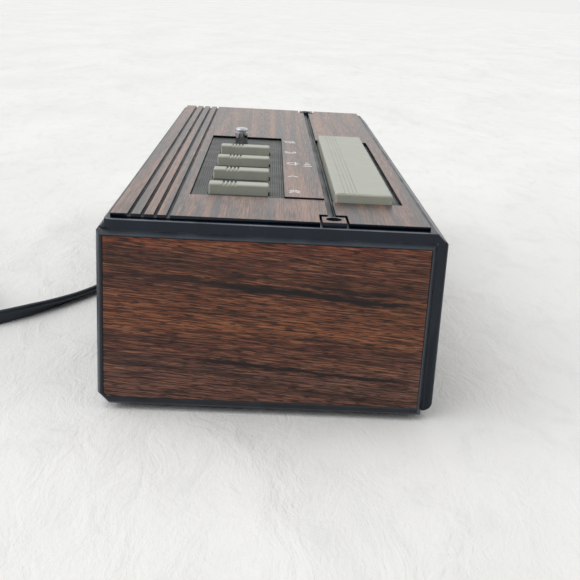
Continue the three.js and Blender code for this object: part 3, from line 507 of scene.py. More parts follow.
def coat(obj, material):
    """Gives the object one material, the one kept under that key."""
    obj.data.materials.clear()
    obj.data.materials.append(MATERIALS[material])
    return obj


# ---------------------------------------------------------------- CAD nodes that stay or are refined


WELD_REACH = 0.002 * MM
SHARP_TURN = math.radians(28)


def welded_copy(node):
    """A bmesh of the CAD node with its shared vertices merged."""
    shape = bmesh.new()
    shape.from_mesh(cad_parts[node].data)
    bmesh.ops.remove_doubles(shape, verts=shape.verts, dist=WELD_REACH)
    return shape


def refined(node, slot, rounds, body=CABINET, edge_material=None, adjust=None):
    """Replaces a CAD node by its own shape with chosen edges rounded.

    Each round is (test of an edge's middle in mm, radius in mm, segments); it takes the sharp outward edges.
    The rounded strips can have a material of their own. adjust(place in mm) moves a vertex beforehand.
    """
    shape = welded_copy(node)
    if adjust:
        for vertex in shape.verts:
            vertex.co = adjust(vertex.co / MM) * MM
    for test, radius, segments in rounds:
        edges = [
            e for e in shape.edges
            if len(e.link_faces) == 2 and e.is_convex and e.calc_face_angle() > SHARP_TURN
            and test((e.verts[0].co + e.verts[1].co) / 2 / MM, e.calc_length() / MM)
        ]
        bmesh.ops.bevel(
            shape, geom=edges, offset=radius * MM, segments=segments, profile=0.5, affect="EDGES",
            clamp_overlap=False, material=1 if edge_material else -1)
    bmesh.ops.triangulate(shape, faces=[f for f in shape.faces if len(f.verts) > 4])
    mesh = bpy.data.meshes.new(node + "_shape")
    shape.to_mesh(mesh)
    shape.free()
    mesh.materials.append(MATERIALS[slot])
    if edge_material:
        mesh.materials.append(MATERIALS[edge_material])
    made = link(node + "_shape", mesh)
    smooth_by_angle(made)
    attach(made, body)
    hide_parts(node)
    return made


# ---------------------------------------------------------------- camera

CAMERA_PLACE = Vector((-0.4036, 0.0033, 0.1261))
CAMERA_YAW = math.radians(-1.904)
CAMERA_PITCH = math.radians(17.674)
CAMERA_ROLL = math.radians(-3.104)
CAMERA_LENS = 58.73
SENSOR_WIDTH = 36.0


def make_camera():
    """Looks along +X at the left end, tilted down, with a slight roll."""
    forward = Vector((
        math.cos(CAMERA_PITCH) * math.cos(CAMERA_YAW),
        math.cos(CAMERA_PITCH) * math.sin(CAMERA_YAW),
        -math.sin(CAMERA_PITCH),
    ))
    right = Vector((math.sin(CAMERA_YAW), -math.cos(CAMERA_YAW), 0)).normalized()
    down = forward.cross(right)
    rolled_right = math.cos(CAMERA_ROLL) * right + math.sin(CAMERA_ROLL) * down
    rolled_down = -math.sin(CAMERA_ROLL) * right + math.cos(CAMERA_ROLL) * down
    data = bpy.data.cameras.new("camera")
    data.lens = CAMERA_LENS
    data.sensor_width = SENSOR_WIDTH
    data.clip_start = 0.01
    data.clip_end = 50
    camera = bpy.data.objects.new("camera", data)
    axes = Matrix((rolled_right, -rolled_down, -forward)).transposed()
    camera.matrix_world = Matrix.Translation(CAMERA_PLACE) @ axes.to_4x4()
    bpy.context.scene.collection.objects.link(camera)
    bpy.context.scene.camera = camera


make_camera()

# ---------------------------------------------------------------- mains cord

CASE_SHIFT = -1.75 * MM  # from the middle of the case to the origin of the frame
CORD_WIDTH = 5.4 * MM
CORD_THICK = 2.5 * MM
FLOOR_GAP = 0.18 * MM
EDGE_LIFT = CORD_WIDTH / 2 + FLOOR_GAP

# Route of the free lead: place in mm from the middle of the case, and how far the flat cord is
# turned about its own line in degrees, 0 standing on its edge and 90 lying flat.
LEAD_ROUTE = [
    (95, 62.3, 12, 90),
    (95, 64.3, 12, 90),
    (95, 66.3, 11.8, 80),
    (94.2, 70.3, 10.5, 50),
    (91.6, 75.4, 8.3, 20),
    (86.4, 80.6, 6, 5),
    (79.6, 84, 4.2, 0),
    (71.8, 85.3, 3.2, 0),
    (63.5, 84.6, 2.85, 0),
    (54.5, 82.2, 2.8, 0),
    (44.5, 79, 2.8, 10),
    (34, 75.6, 2.4, 35),
    (23.5, 71.2, 1.8, 65),
    (13.5, 68, 1.5, 88),
    (3.5, 66.6, 1.5, 100),
    (-6, 67.2, 1.5, 112),
    (-15.5, 69.7, 1.5, 117),
    (-25, 73.9, 1.6, 118),
    (-35.8, 79.8, 1.9, 124),
    (-46.3, 86.2, 2.4, 140),
    (-55.6, 92.6, 2.8, 160),
    (-63.8, 100.4, 2.8, 172),
    (-70.8, 109.3, 2.8, 178),
]
COIL_MIDDLE = Vector((-57 * MM + CASE_SHIFT, 148 * MM, 0))
COIL_OUTER = 36.1 * MM
COIL_INNER = 25.9 * MM
COIL_START = math.radians(233.1)
COIL_TURNS = 7 + 143.1 / 360
TAIL_ROUTE = [(-34, 184.1, 6.6, 180), (-29, 184.1, 6.2, 180), (-22, 184.1, 6.1, 180)]


def catmull_rom(points, steps):
    """Points along a smooth curve through the given ones, which are tuples of any length."""
    padded = [points[0], *points, points[-1]]
    made = []
    for a, b, c, d in zip(padded, padded[1:], padded[2:], padded[3:]):
        for k in range(steps):
            t = k / steps
            made.append(tuple(
                0.5 * (2 * q + (r - p) * t + (2 * p - 5 * q + 4 * r - s) * t * t
                       + (3 * q - p - 3 * r + s) * t ** 3)
                for p, q, r, s in zip(a, b, c, d)
            ))
    made.append(tuple(points[-1]))
    return made


def coil_points():
    """The coil: a spiral inwards on the floor, then outwards on top of it, the cord on its edge."""
    steps = round(COIL_TURNS * 48)
    points = []
    for k in range(steps + 1):
        share = k / steps
        depth = 1 - abs(1 - 2 * share)
        radius = COIL_OUTER + (COIL_INNER - COIL_OUTER) * depth
        climb = min(max((share - 0.44) / 0.12, 0), 1)
        lift = EDGE_LIFT + 5.5 * MM * climb * climb * (3 - 2 * climb)
        angle = COIL_START - TAU * COIL_TURNS * share
        place = COIL_MIDDLE + Vector((radius * math.cos(angle), radius * math.sin(angle), lift))
        points.append((*place, 180.0))
    return points


def from_case(points):
    return [(x * MM + CASE_SHIFT, y * MM, z * MM, turn) for x, y, z, turn in points]


def cord_line():
    """Centreline of the whole cord as (x, y, z, turn) in metres and degrees."""
    lead = catmull_rom(from_case(LEAD_ROUTE), 8)
    coil = coil_points()
    tail = from_case(TAIL_ROUTE)
    into_coil = catmull_rom([lead[-9], lead[-1], coil[0], coil[4]], 8)[9:-8]
    out_of_coil = catmull_rom([coil[-5], coil[-1], *tail], 8)[9:]
    return lead + into_coil + coil[:-1] + out_of_coil


def twin_section():
    """Outline of the twin cord: two round cores side by side, as (wide, thin) offsets in metres."""
    core = CORD_THICK / 2
    apart = CORD_WIDTH / 2 - core
    arc = [math.radians(-125 + 250 * k / 9) for k in range(10)]
    right = [(apart + core * math.cos(a), core * math.sin(a)) for a in arc]
    return right + [(-u, -v) for u, v in right]


def make_cord():
    line = cord_line()
    section = twin_section()
    rings = []
    for i, (x, y, z, turn) in enumerate(line):
        before = Vector(line[max(i - 1, 0)][:3])
        after = Vector(line[min(i + 1, len(line) - 1)][:3])
        along = (after - before).normalized()
        upright = (Vector((0, 0, 1)) - along * along.z).normalized()
        sideways = along.cross(upright)
        angle = math.radians(turn)
        z = max(z, CORD_THICK / 2 * (1 + abs(math.cos(angle))) + FLOOR_GAP)
        wide = upright * math.cos(angle) + sideways * math.sin(angle)
        thin = along.cross(wide)
        rings.append([Vector((x, y, z)) + wide * u + thin * v for u, v in section])
    cord = swept("mains_cord", rings)
    path = [point[:3] for point in line]
    length = sum((Vector(b) - Vector(a)).length for a, b in zip(path, path[1:]))
    return cord, path, length


mains_cord, cord_path, cord_length = make_cord()
print("cord length", cord_length)

# ---------------------------------------------------------------- case and panels


def near_outside(node, reach):
    """Test for edges that lie near two or more sides of the node's box, within reach mm."""
    low, high = [Vector(corner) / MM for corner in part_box(node)]

    def test(middle, length):
        close = [min(middle[i] - low[i], high[i] - middle[i]) < reach for i in range(3)]
        return sum(close) >= 2 and length > 0.5
    return test


def repaint_faces(obj, slot, chosen):
    """Gives a second material to the faces whose centre in mm and normal pass the test."""
    obj.data.materials.append(MATERIALS[slot])
    for polygon in obj.data.polygons:
        if chosen(polygon.center / MM, polygon.normal):
            polygon.material_index = len(obj.data.materials) - 1


JOINT_CLOSING = 0.24  # the tub's edges reach this much nearer to the shell than their plain shapes
SHELL_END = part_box("top_shell")[1][0] / MM
TOP_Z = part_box("rear_top_panel")[1][2] / MM
LEDGE_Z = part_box("top_shell")[1][2] / MM


def make_case():
    """Both mouldings, closed up to a hairline where they meet, with their edges round the top and the ends rounded
    and painted pale: wear and a painted highlight.
    """
    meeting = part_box("base_tub")[1][2] / MM
    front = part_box("base_tub")[0][1] / MM

    def close_joint(place):
        raised = JOINT_CLOSING if place.z > meeting - 0.01 else 0
        forward = JOINT_CLOSING if place.y < front + 0.01 else 0
        return place + Vector((0, -forward, raised))

    def round_outside(node, end_reach):
        ends = near_outside(node, end_reach)
        sides = near_outside(node, 5)

        def chosen(middle, length):
            return ends(middle, length) or (abs(middle.x) < 100 and length > 100 and sides(middle, length))
        return [
            (lambda middle, length: chosen(middle, length) and abs(middle.z - meeting) > 1, 0.3, 3),
            (lambda middle, length: chosen(middle, length) and abs(middle.z - meeting) < 1, 0.06, 2),
        ]
    # The rounded edge strips of both mouldings get the pale edge material: wear and a painted highlight.
    tub = refined(
        "base_tub", "case_bevel", round_outside("base_tub", 1.15), edge_material="edge_wear_and_highlight", adjust=close_joint)
    # The tilted chamfer faces at the ends get the lighter grey: painted sheen.
    repaint_faces(
        tub, "chamfer_painted_sheen",
        lambda centre, normal: abs(centre.x) > SHELL_END and 0.3 < abs(normal.x) < 0.98)
    refined("top_shell", "case_black", round_outside("top_shell", 3.5), edge_material="edge_wear_and_highlight")


def make_top_panels():
    """Wood-grain sheets on a black core: the print is on their upper faces only."""
    for node in ("rear_top_panel", "front_top_panel", "label_plate", "left_screw_pad", "right_screw_pad"):
        panel = refined(
            node, "top_wood", [(lambda middle, length: middle.z > TOP_Z - 0.05 and length > 0.8, 0.1, 2)])
        repaint_faces(panel, "case_black", lambda centre, normal: normal.z < 0.6)
        # Groove floors below the printed face get the grey: painted reflection.
        repaint_faces(
            panel, "groove_painted_reflection", lambda centre, normal: normal.z > 0.9 and centre.z < TOP_Z - 0.3)


def make_end_inlays():
    for node in ("left_end_inlay", "right_end_inlay"):
        refined(node, "end_wood", [(lambda middle, length: abs(middle.x) > 132 and length > 20, 0.08, 2)])


# ---------------------------------------------------------------- push controls

BUTTONS = ("fast_set_button", "slow_set_button", "alarm_button", "sleep_button")
BUTTON_HALF = (3.0, 9.9)
BUTTON_ROUND = 0.55
NOTCHES = (5.05, 3.75, 2.45, 1.15)
NOTCH_WIDTH = 0.7
NOTCH_DEPTH = 0.6
FLANGE_TOP = 57.0
FLANGE_BOTTOM = 55.4
FOOT_BOTTOM = 53.9


def solid_box(name, low, high):
    """A plain box between corners in mm, for joining to or cutting from other shapes."""
    shape = box_mesh([v * MM for v in low], [v * MM for v in high])
    mesh = bpy.data.meshes.new(name)
    shape.to_mesh(mesh)
    shape.free()
    return link(name, mesh)


def combine(obj, others, operation):
    """Joins the other objects to obj, or cuts them out of it, and removes them."""
    for other in others:
        change = obj.modifiers.new("combine", "BOOLEAN")
        change.operation = operation
        change.solver = "EXACT"
        change.object = other
    apply_modifiers(obj)
    for other in others:
        bpy.data.objects.remove(other)
    smooth_by_angle(obj)
    return obj


def centre_of(node):
    low, high = [Vector(corner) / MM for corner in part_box(node)]
    return (low + high) / 2


def make_button(node):
    """Bar with round edges and four notches near its rear end, on its flange and foot."""
    x, y, _ = centre_of(node)
    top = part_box(node)[1][2] / MM
    half_x, half_y = BUTTON_HALF
    bar = rounded_box(
        node + "_cap", [v * MM for v in (x - half_x, y - half_y, FLANGE_BOTTOM + 0.5)],
        [v * MM for v in (x + half_x, y + half_y, top)], BUTTON_ROUND * MM, keep_bottom=True)
    flange = solid_box(
        "flange", (x - half_x - 1.5, y - half_y - 1.5, FLANGE_BOTTOM),
        (x + half_x + 1.5, y + half_y + 1.5, FLANGE_TOP))
    foot = solid_box("foot", (x - 1.5, y - 2, FOOT_BOTTOM), (x + 1.5, y + 2, FLANGE_BOTTOM + 0.6))
    combine(bar, [flange, foot], "UNION")
    notches = [
        solid_box(
            "notch", (x - 5, y + at - NOTCH_WIDTH / 2, top - NOTCH_DEPTH),
            (x + 5, y + at + NOTCH_WIDTH / 2, top + 1))
        for at in NOTCHES
    ]
    combine(bar, notches, "DIFFERENCE")
    coat(bar, "button_plastic")
    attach(bar, node)
    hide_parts(node)


SNOOZE_LINES = (-22.85, -24.25, -25.5, -26.75)


def make_snooze_bar():
    """Long hollow bar with round upper edges and four fine lines along it."""
    low, high = [Vector(corner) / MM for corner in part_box("snooze_bar")]
    flange = 2.0
    x0 = low.x + flange
    x1 = high.x - flange
    bar = rounded_box(
        "snooze_bar_cap", [v * MM for v in (x0, low.y, FLANGE_BOTTOM + 0.2)],
        [v * MM for v in (x1, high.y, high.z)], 0.8 * MM, segments=5, keep_bottom=True)
    hollow = solid_box("hollow", (x0 + 2, low.y + 2, 50), (x1 - 2, high.y - 2, high.z - 2.2))
    lines = [
        solid_box("line", (x0 - 5, y - 0.13, high.z - 0.2), (x1 + 5, y + 0.13, high.z + 1))
        for y in SNOOZE_LINES
    ]
    combine(bar, [hollow, *lines], "DIFFERENCE")
    ends = [
        solid_box("end", (x - flange, low.y, FLANGE_BOTTOM + 0.2), (x + flange, high.y, FLANGE_TOP))
        for x in (x0, x1)]
    feet = [
        solid_box("foot", (x - 2, -30.4, FOOT_BOTTOM), (x + 2, -26.4, high.z - 1.2))
        for x in (x0 + 22.8, x1 - 22.5)]
    combine(bar, ends + feet, "UNION")
    coat(bar, "button_plastic")
    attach(bar, "snooze_bar")
    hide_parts("snooze_bar")


def make_push_rod():
    """Bright rod with a neck under its domed cap."""
    x, y, _ = centre_of("alarm_off_rod")
    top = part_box("alarm_off_rod")[1][2] / MM
    radius = 2.7
    neck = radius - 0.45
    profile = [
        (0, FOOT_BOTTOM), (1.6, FOOT_BOTTOM), (1.6, FLANGE_BOTTOM), (4.2, FLANGE_BOTTOM), (4.2, FLANGE_TOP),
        (radius, FLANGE_TOP), (radius, top - 2.2), (radius - 0.08, top - 2.1), (neck, top - 1.95),
        (neck, top - 1.5), (radius - 0.08, top - 1.35), (radius, top - 1.25), (radius, top - 0.8),
    ]
    dome = [
        (radius * math.cos(a), top - 0.8 + 0.8 * math.sin(a))
        for a in [math.radians(9 * k) for k in range(1, 10)]
    ]
    dome.append((0, top))
    rod = turned("alarm_off_rod_shape", profile + dome, (x * MM, y * MM, 0), segments=48)
    smooth_by_angle(rod, 35)
    coat(rod, "bright_rod")
    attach(rod, "alarm_off_rod")
    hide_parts("alarm_off_rod")


RIDGE_PITCH = 0.75
RIDGE_HALF = 0.2
RIDGE_RISE = 0.14


def ridge(x0, x1, y, z):
    """Vertices and faces of one three-sided ridge along X, in metres."""
    points = []
    for x in (x0, x1):
        points += [(x, y - RIDGE_HALF, z - 0.05), (x, y + RIDGE_HALF, z - 0.05), (x, y, z + RIDGE_RISE)]
    faces = [(0, 2, 1), (3, 4, 5), (0, 1, 4, 3), (1, 2, 5, 4), (2, 0, 3, 5)]
    return [[v * MM for v in p] for p in points], faces


def make_control_plate():
    """Sunk plate under the buttons, and the fine ridges that run along it between their openings."""
    plate = refined("control_plate", "control_grey", [])
    low, high = [Vector(corner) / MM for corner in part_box("control_plate")]
    openings = []
    for node in BUTTONS:
        x, y, _ = centre_of(node)
        openings.append((x - BUTTON_HALF[0] - 0.7, x + BUTTON_HALF[0] + 0.7, y - 10.6, y + 10.6))
    x, y, _ = centre_of("alarm_off_rod")
    openings.append((x - 3.4, x + 3.4, y - 3.4, y + 3.4))
    vertices = []
    faces = []
    count = round((high.y - low.y - 1) / RIDGE_PITCH)
    for k in range(count):
        at = low.y + 0.6 + k * RIDGE_PITCH
        start = low.x + 0.5
        crossed = [o for o in openings if o[2] < at < o[3]]
        for stop, restart in [(o[0], o[1]) for o in crossed] + [(high.x - 0.5, 0)]:
            points, sides = ridge(start, stop, at, high.z)
            faces += [[i + len(vertices) for i in side] for side in sides]
            vertices += points
            start = restart
    ridges = make_object("control_plate_ridges", vertices, faces, smooth=False)
    coat(ridges, "control_grey")
    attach(ridges, CABINET)
    return plate


# ---------------------------------------------------------------- feet, wheels, switches, screws


def make_feet():
    """Turned rubber feet with a rounded rim and a screw dimple underneath."""
    for node in ("front_left_foot", "front_right_foot", "rear_left_foot", "rear_right_foot"):
        x, y, _ = centre_of(node)
        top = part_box(node)[1][2] / MM
        angles = [math.radians(15 * k) for k in range(7)]
        rim = [(5.2 + 0.8 * math.sin(a), 0.8 - 0.8 * math.cos(a)) for a in angles]
        profile = [(0, 0.9), (1.7, 0.9), (2.1, 0.5), (2.3, 0.0), *rim, (6, top), (0, top)]
        foot = turned(node + "_shape", profile, (x * MM, y * MM, 0), segments=56)
        smooth_by_angle(foot, 50)
        coat(foot, "foot_rubber")
        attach(foot, CABINET)
        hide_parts(node)


WHEEL_RADII = {"tuning_wheel": 26, "volume_wheel": 13}
KNURL_LOW = 19.5
KNURL_HIGH = 25.5


def make_wheels():
    """Thumbwheels with the edges of their knurls eased."""
    for node, radius in WHEEL_RADII.items():
        x, y, _ = centre_of(node)

        def rim(middle, length, x=x, y=y, radius=radius):
            return math.hypot(middle.x - x, middle.y - y) > radius - 1.2 and KNURL_LOW < middle.z < KNURL_HIGH
        refined(node, "case_black", [(rim, 0.14, 2)], body=node)


def make_sliders():
    """Switch thumbs with eased edges."""
    for node in ("function_slider", "band_slider"):
        refined(
            node, "switch_white", [(lambda middle, length: middle.y < -50.5 and length > 0.7, 0.16, 2)], body=node)


# ---------------------------------------------------------------- strain relief and plug


def make_strain_relief():
    """Ribbed boot: a bushing in the wall, then five rings that shrink towards the cord."""
    low, high = [Vector(corner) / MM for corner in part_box("strain_relief")]
    x, _, z = centre_of("strain_relief")
    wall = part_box("base_tub")[1][1] / MM
    profile = [(0, low.y), (3.2, low.y), (3.5, low.y + 0.3), (5.5, low.y + 3.4)]
    profile += [(5.5, wall - 2.8), (3.7, wall - 2.8)]
    profile += [(3.7, wall + 0.3), (5.3, wall + 0.3), (5.5, wall + 0.5), (5.5, wall + 1.5), (5.2, wall + 1.8)]
    rings = 5
    start = wall + 1.9
    pitch = (high.y - start) / rings
    for k in range(rings):
        outer = 4.6 - 1.3 * k / (rings - 1)
        at = start + k * pitch
        profile += [
            (outer - 0.9, at), (outer - 0.9, at + pitch * 0.3), (outer - 0.2, at + pitch * 0.36),
            (outer, at + pitch * 0.5), (outer - 0.06, at + pitch * 0.85), (outer - 0.3, at + pitch * 0.98),
        ]
    profile += [(2.9, high.y), (0, high.y)]
    relief = turned("strain_relief_shape", profile, (x * MM, 0, z * MM), axis="Y", segments=48)
    smooth_by_angle(relief, 35)
    coat(relief, "cord_vinyl")
    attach(relief, CABINET)
    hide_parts("strain_relief")
    return relief


def make_plug():
    """Moulded two-blade plug: rounded body, grip ribs on both flat sides, flange towards the blades."""
    low, high = [Vector(corner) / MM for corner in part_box("plug_body")]
    middle = (low + high) / 2
    stations = [
        (0.0, 3.6, 3.0), (1.2, 4.2, 3.6), (5.5, 6.2, 4.6), (9.5, 8.8, 5.3), (13.0, 9.6, 5.5), (19.0, 9.4, 5.4),
        (20.6, 9.6, 5.5), (21.4, 10.8, 5.8), (25.2, 11.0, 5.9), (26.0, 10.4, 5.4),
    ]
    line = catmull_rom(stations, 5)
    rings = []
    for along, wide, thick in line:
        ring = []
        for k in range(40):
            a = TAU * k / 40
            c, s = math.cos(a), math.sin(a)
            flat = 0.5
            ring.append(Vector((
                low.x + along, middle.y + wide * math.copysign(abs(c) ** flat, c),
                middle.z + thick * math.copysign(abs(s) ** flat, s))) * MM)
        rings.append(ring)
    plug = swept("plug_shape", rings)
    grooves = []
    for k in range(5):
        at = low.x + 10.5 + 1.7 * k
        for z0, z1 in ((low.z - 1, low.z + 1.0), (high.z - 1.0, high.z + 1)):
            grooves.append(solid_box("groove", (at, middle.y - 6.5, z0), (at + 0.8, middle.y + 6.5, z1)))
    slots = [
        solid_box("slot", (high.x - 4, middle.y + s * 6.35 - 0.9, middle.z - 3.3), (
            high.x + 4, middle.y + s * 6.35 + 0.9, middle.z + 3.3)) for s in (-1, 1)]
    combine(plug, grooves + slots, "DIFFERENCE")
    coat(plug, "cord_vinyl")
    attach(plug, CABINET)
    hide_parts("plug_body")
    for node in ("plug_blade_front", "plug_blade_rear"):
        refined(node, "blade_brass", [(lambda m, length: m.x > 10, 0.5, 3)])
    return plug


# ---------------------------------------------------------------- printed marks and display


def flat_mark(outline, place, across, up, out, rise=0.03):
    """Vertices and faces of a thin raised mark: outline of (a, b) in mm on a face, standing out by rise mm."""
    place, across, up, out = Vector(place), Vector(across), Vector(up), Vector(out)
    count = len(outline)
    vertices = []
    for level in (-0.01, rise):
        vertices += [place + across * a + up * b + out * level for a, b in outline]
    faces = [tuple(reversed(range(count))), tuple(range(count, 2 * count))]
    for k in range(count):
        n = (k + 1) % count
        faces.append((k, n, n + count, k + count))
    return [v * MM for v in vertices], faces


def marks_object(name, marks, slot, body=CABINET):
    """One object out of many thin marks."""
    vertices = []
    faces = []
    for points, sides in marks:
        faces += [[i + len(vertices) for i in side] for side in sides]
        vertices += points
    made = make_object(name, vertices, faces, smooth=False)
    shape = bmesh.new()
    shape.from_mesh(made.data)
    bmesh.ops.recalc_face_normals(shape, faces=shape.faces)
    shape.to_mesh(made.data)
    shape.free()
    coat(made, slot)
    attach(made, body)
    return made


def bar_outline(a, b, width):
    """Four corners of a straight stroke from a to b."""
    along = (Vector(b) - Vector(a)).normalized()
    side = Vector((-along.y, along.x)) * width / 2
    a, b = Vector(a), Vector(b)
    return [tuple(a - side), tuple(b - side), tuple(b + side), tuple(a + side)]


def arc_strokes(centre, radius, start, stop, width, steps=10):
    """Strokes along an arc, in degrees."""
    points = [
        (centre[0] + radius * math.cos(math.radians(start + (stop - start) * k / steps)),
         centre[1] + radius * math.sin(math.radians(start + (stop - start) * k / steps)))
        for k in range(steps + 1)
    ]
    return [bar_outline(a, b, width) for a, b in zip(points, points[1:])]


STROKE = 0.42  # width of the lines that the signs are drawn with, before they are enlarged


def chevrons(count):
    """Arrow heads that point along a, one for each step of speed."""
    strokes = []
    for k in range(count):
        tip = 1.1 * k - 0.55 * (count - 1) + 0.5
        strokes += [bar_outline((tip - 1, end), (tip, 0), STROKE) for end in (1.1, -1.1)]
    return strokes


def bell():
    strokes = arc_strokes((0, 0.1), 0.9, 0, 180, STROKE)
    strokes += [bar_outline((side * 0.9, 0.1), (side * 1.2, -0.9), STROKE) for side in (-1, 1)]
    strokes += [bar_outline((-1.5, -0.95), (1.5, -0.95), STROKE), bar_outline((-0.3, -1.45), (0.3, -1.45), STROKE)]
    return strokes


def moon():
    return arc_strokes((0, 0), 1.3, 60, 300, STROKE, 14) + arc_strokes((0.75, 0), 1.0, 95, 265, STROKE, 10)


def bell_off():
    return bell() + [bar_outline((-1.7, -1.5), (1.7, 1.5), STROKE)]


def pause_marks():
    """Three falling bars, for a sound that stops for a while."""
    return [bar_outline((-1.6 + 1.6 * k, -0.8 + 0.3 * k), (-1.6 + 1.6 * k, 1.2 - 0.3 * k), 0.6) for k in range(3)]


LABEL_ROW_Y = -6.75
LABEL_SIZE = (2.1, 1.6)  # along X and Y
SNOOZE_MARK = (-41.3, -13.1)


def make_label_marks():
    """White signs beside the push controls, drawn to be read from the front."""
    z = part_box("label_plate")[1][2] / MM
    signs = [
        ("fast_set_button", chevrons(2)), ("slow_set_button", chevrons(1)), ("alarm_button", bell()),
        ("sleep_button", moon()), ("alarm_off_rod", bell_off()),
    ]
    across = (LABEL_SIZE[0], 0, 0)
    up = (0, LABEL_SIZE[1], 0)
    marks = []
    for node, strokes in signs:
        x = centre_of(node).x
        for stroke in strokes:
            marks.append(flat_mark(stroke, (x, LABEL_ROW_Y, z), across, up, (0, 0, 1)))
    for stroke in pause_marks():
        marks.append(flat_mark(stroke, (*SNOOZE_MARK, z), across, up, (0, 0, 1)))
    marks_object("label_marks", marks, "print_white")


def make_switch_marks():
    """Dots over the stops of the two front switches."""
    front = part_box("top_shell")[0][1] / MM
    marks = []
    for node, stops, travel in (("function_slider", 3, 10), ("band_slider", 2, 6)):
        x, _, z = centre_of(node)
        for k in range(stops):
            at = x + travel * k / (stops - 1)
            dot = [(0.45 * math.cos(TAU * i / 20), 0.45 * math.sin(TAU * i / 20)) for i in range(20)]
            marks.append(flat_mark(dot, (at, front, z + 6.2), (1, 0, 0), (0, 0, 1), (0, -1, 0)))
            for step in range(k):
                line = bar_outline((-0.9, 1.4 + 0.8 * step), (0.9, 1.4 + 0.8 * step), 0.3)
                marks.append(flat_mark(line, (at, front, z + 6.2), (1, 0, 0), (0, 0, 1), (0, -1, 0)))
    marks_object("switch_marks", marks, "print_white")


FM_STOPS = ((88, 0.0), (92, 0.2), (96, 0.4), (100, 0.6), (104, 0.8), (108, 1.0))
AM_STOPS = ((54, 0.0), (60, 0.12), (70, 0.28), (80, 0.42), (100, 0.6), (130, 0.82), (160, 1.0))


def number(name, value, height, place):
    """A printed number on the dial plate, read from the front."""
    curve = bpy.data.curves.new(name, "FONT")
    curve.body = str(value)
    curve.size = height * MM
    curve.extrude = 0.02 * MM
    curve.align_x = "CENTER"
    curve.align_y = "CENTER"
    curve.resolution_u = 3
    text = link(name, curve)
    text.matrix_world = Matrix.Translation(Vector(place) * MM) @ Matrix.Rotation(math.pi / 2, 4, "X")
    bpy.context.view_layer.update()
    mesh = bpy.data.meshes.new_from_object(text.evaluated_get(bpy.context.evaluated_depsgraph_get()))
    mesh.transform(text.matrix_world)
    bpy.data.objects.remove(text)
    return link(name, mesh)


def make_dial_scale():
    """Two printed scales with their numbers and ticks, and a line between them."""
    low, high = [Vector(corner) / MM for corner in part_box("dial_plate")]
    face = low.y
    marks = []
    numbers = []
    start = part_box("dial_pointer")[0][0] / MM + 3
    for stops, row, sign in ((FM_STOPS, 45.2, -1), (AM_STOPS, 36.4, 1)):
        for value, share in stops:
            x = start + 51.8 * share
            numbers.append(number(f"number_{value}", value, 3.4, (x, face - 0.02, row)))
            tick = bar_outline((0, sign * 2.2), (0, sign * 3.4), 0.3)
            marks.append(flat_mark(tick, (x, face, row), (1, 0, 0), (0, 0, 1), (0, -1, 0)))
        for k in range(26):
            x = start + 51.8 * k / 25
            tick = bar_outline((0, sign * 2.7), (0, sign * 3.4), 0.16)
            marks.append(flat_mark(tick, (x, face, row), (1, 0, 0), (0, 0, 1), (0, -1, 0)))
        rail = bar_outline((start - 3, sign * 3.55), (start + 55, sign * 3.55), 0.2)
        marks.append(flat_mark(rail, (0, face, row), (1, 0, 0), (0, 0, 1), (0, -1, 0)))
    marks_object("dial_ticks", marks, "print_white")
    printed = joined("dial_numbers", numbers)
    coat(printed, "print_white")
    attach(printed, CABINET)


SEGMENT_LONG = 7.2
SEGMENT_HALF = 0.9
DIGIT_CENTRES = (-36.5, -16.5, 6.5, 26.5)
DIGIT_LEAN = 0.12


def segment(centre, upright):
    """One pointed bar of a digit."""
    half = SEGMENT_LONG / 2
    outline = [
        (-half, 0), (-half + SEGMENT_HALF, SEGMENT_HALF), (half - SEGMENT_HALF, SEGMENT_HALF), (half, 0),
        (half - SEGMENT_HALF, -SEGMENT_HALF), (-half + SEGMENT_HALF, -SEGMENT_HALF),
    ]
    if upright:
        outline = [(-b, a) for a, b in outline]
    moved = [(a + centre[0], b + centre[1]) for a, b in outline]
    return [(a + DIGIT_LEAN * b, b) for a, b in moved]


def make_display_segments():
    """Unlit digits, colon and corner dot of the clock display."""
    low, high = [Vector(corner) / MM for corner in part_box("led_display")]
    middle = (low + high) / 2
    step = SEGMENT_LONG + 0.5
    marks = []
    for at in DIGIT_CENTRES:
        for z in (-step, 0, step):
            marks.append(segment((0, z), False))
            marks[-1] = [(a + at, b) for a, b in marks[-1]]
        for x in (-step / 2, step / 2):
            for z in (-step / 2, step / 2):
                marks.append([(a + at, b) for a, b in segment((x, z), True)])
    dot = [(0.9 * math.cos(TAU * i / 20), 0.9 * math.sin(TAU * i / 20)) for i in range(20)]
    for x, z in ((-5, -3), (-5, 3), (-46, 8), (-46, -8)):
        marks.append([(a + x, b + z) for a, b in dot])
    placed = [
        flat_mark(outline, (middle.x, low.y, middle.z), (1, 0, 0), (0, 0, 1), (0, -1, 0), rise=0.15)
        for outline in marks]
    marks_object("display_segments", placed, "segment_grey")


# ---------------------------------------------------------------- build everything

make_case()
make_top_panels()
make_end_inlays()
for button_node in BUTTONS:
    make_button(button_node)
make_snooze_bar()
make_push_rod()
make_control_plate()
make_feet()
make_wheels()
make_sliders()
make_label_marks()
make_switch_marks()
make_dial_scale()
make_display_segments()

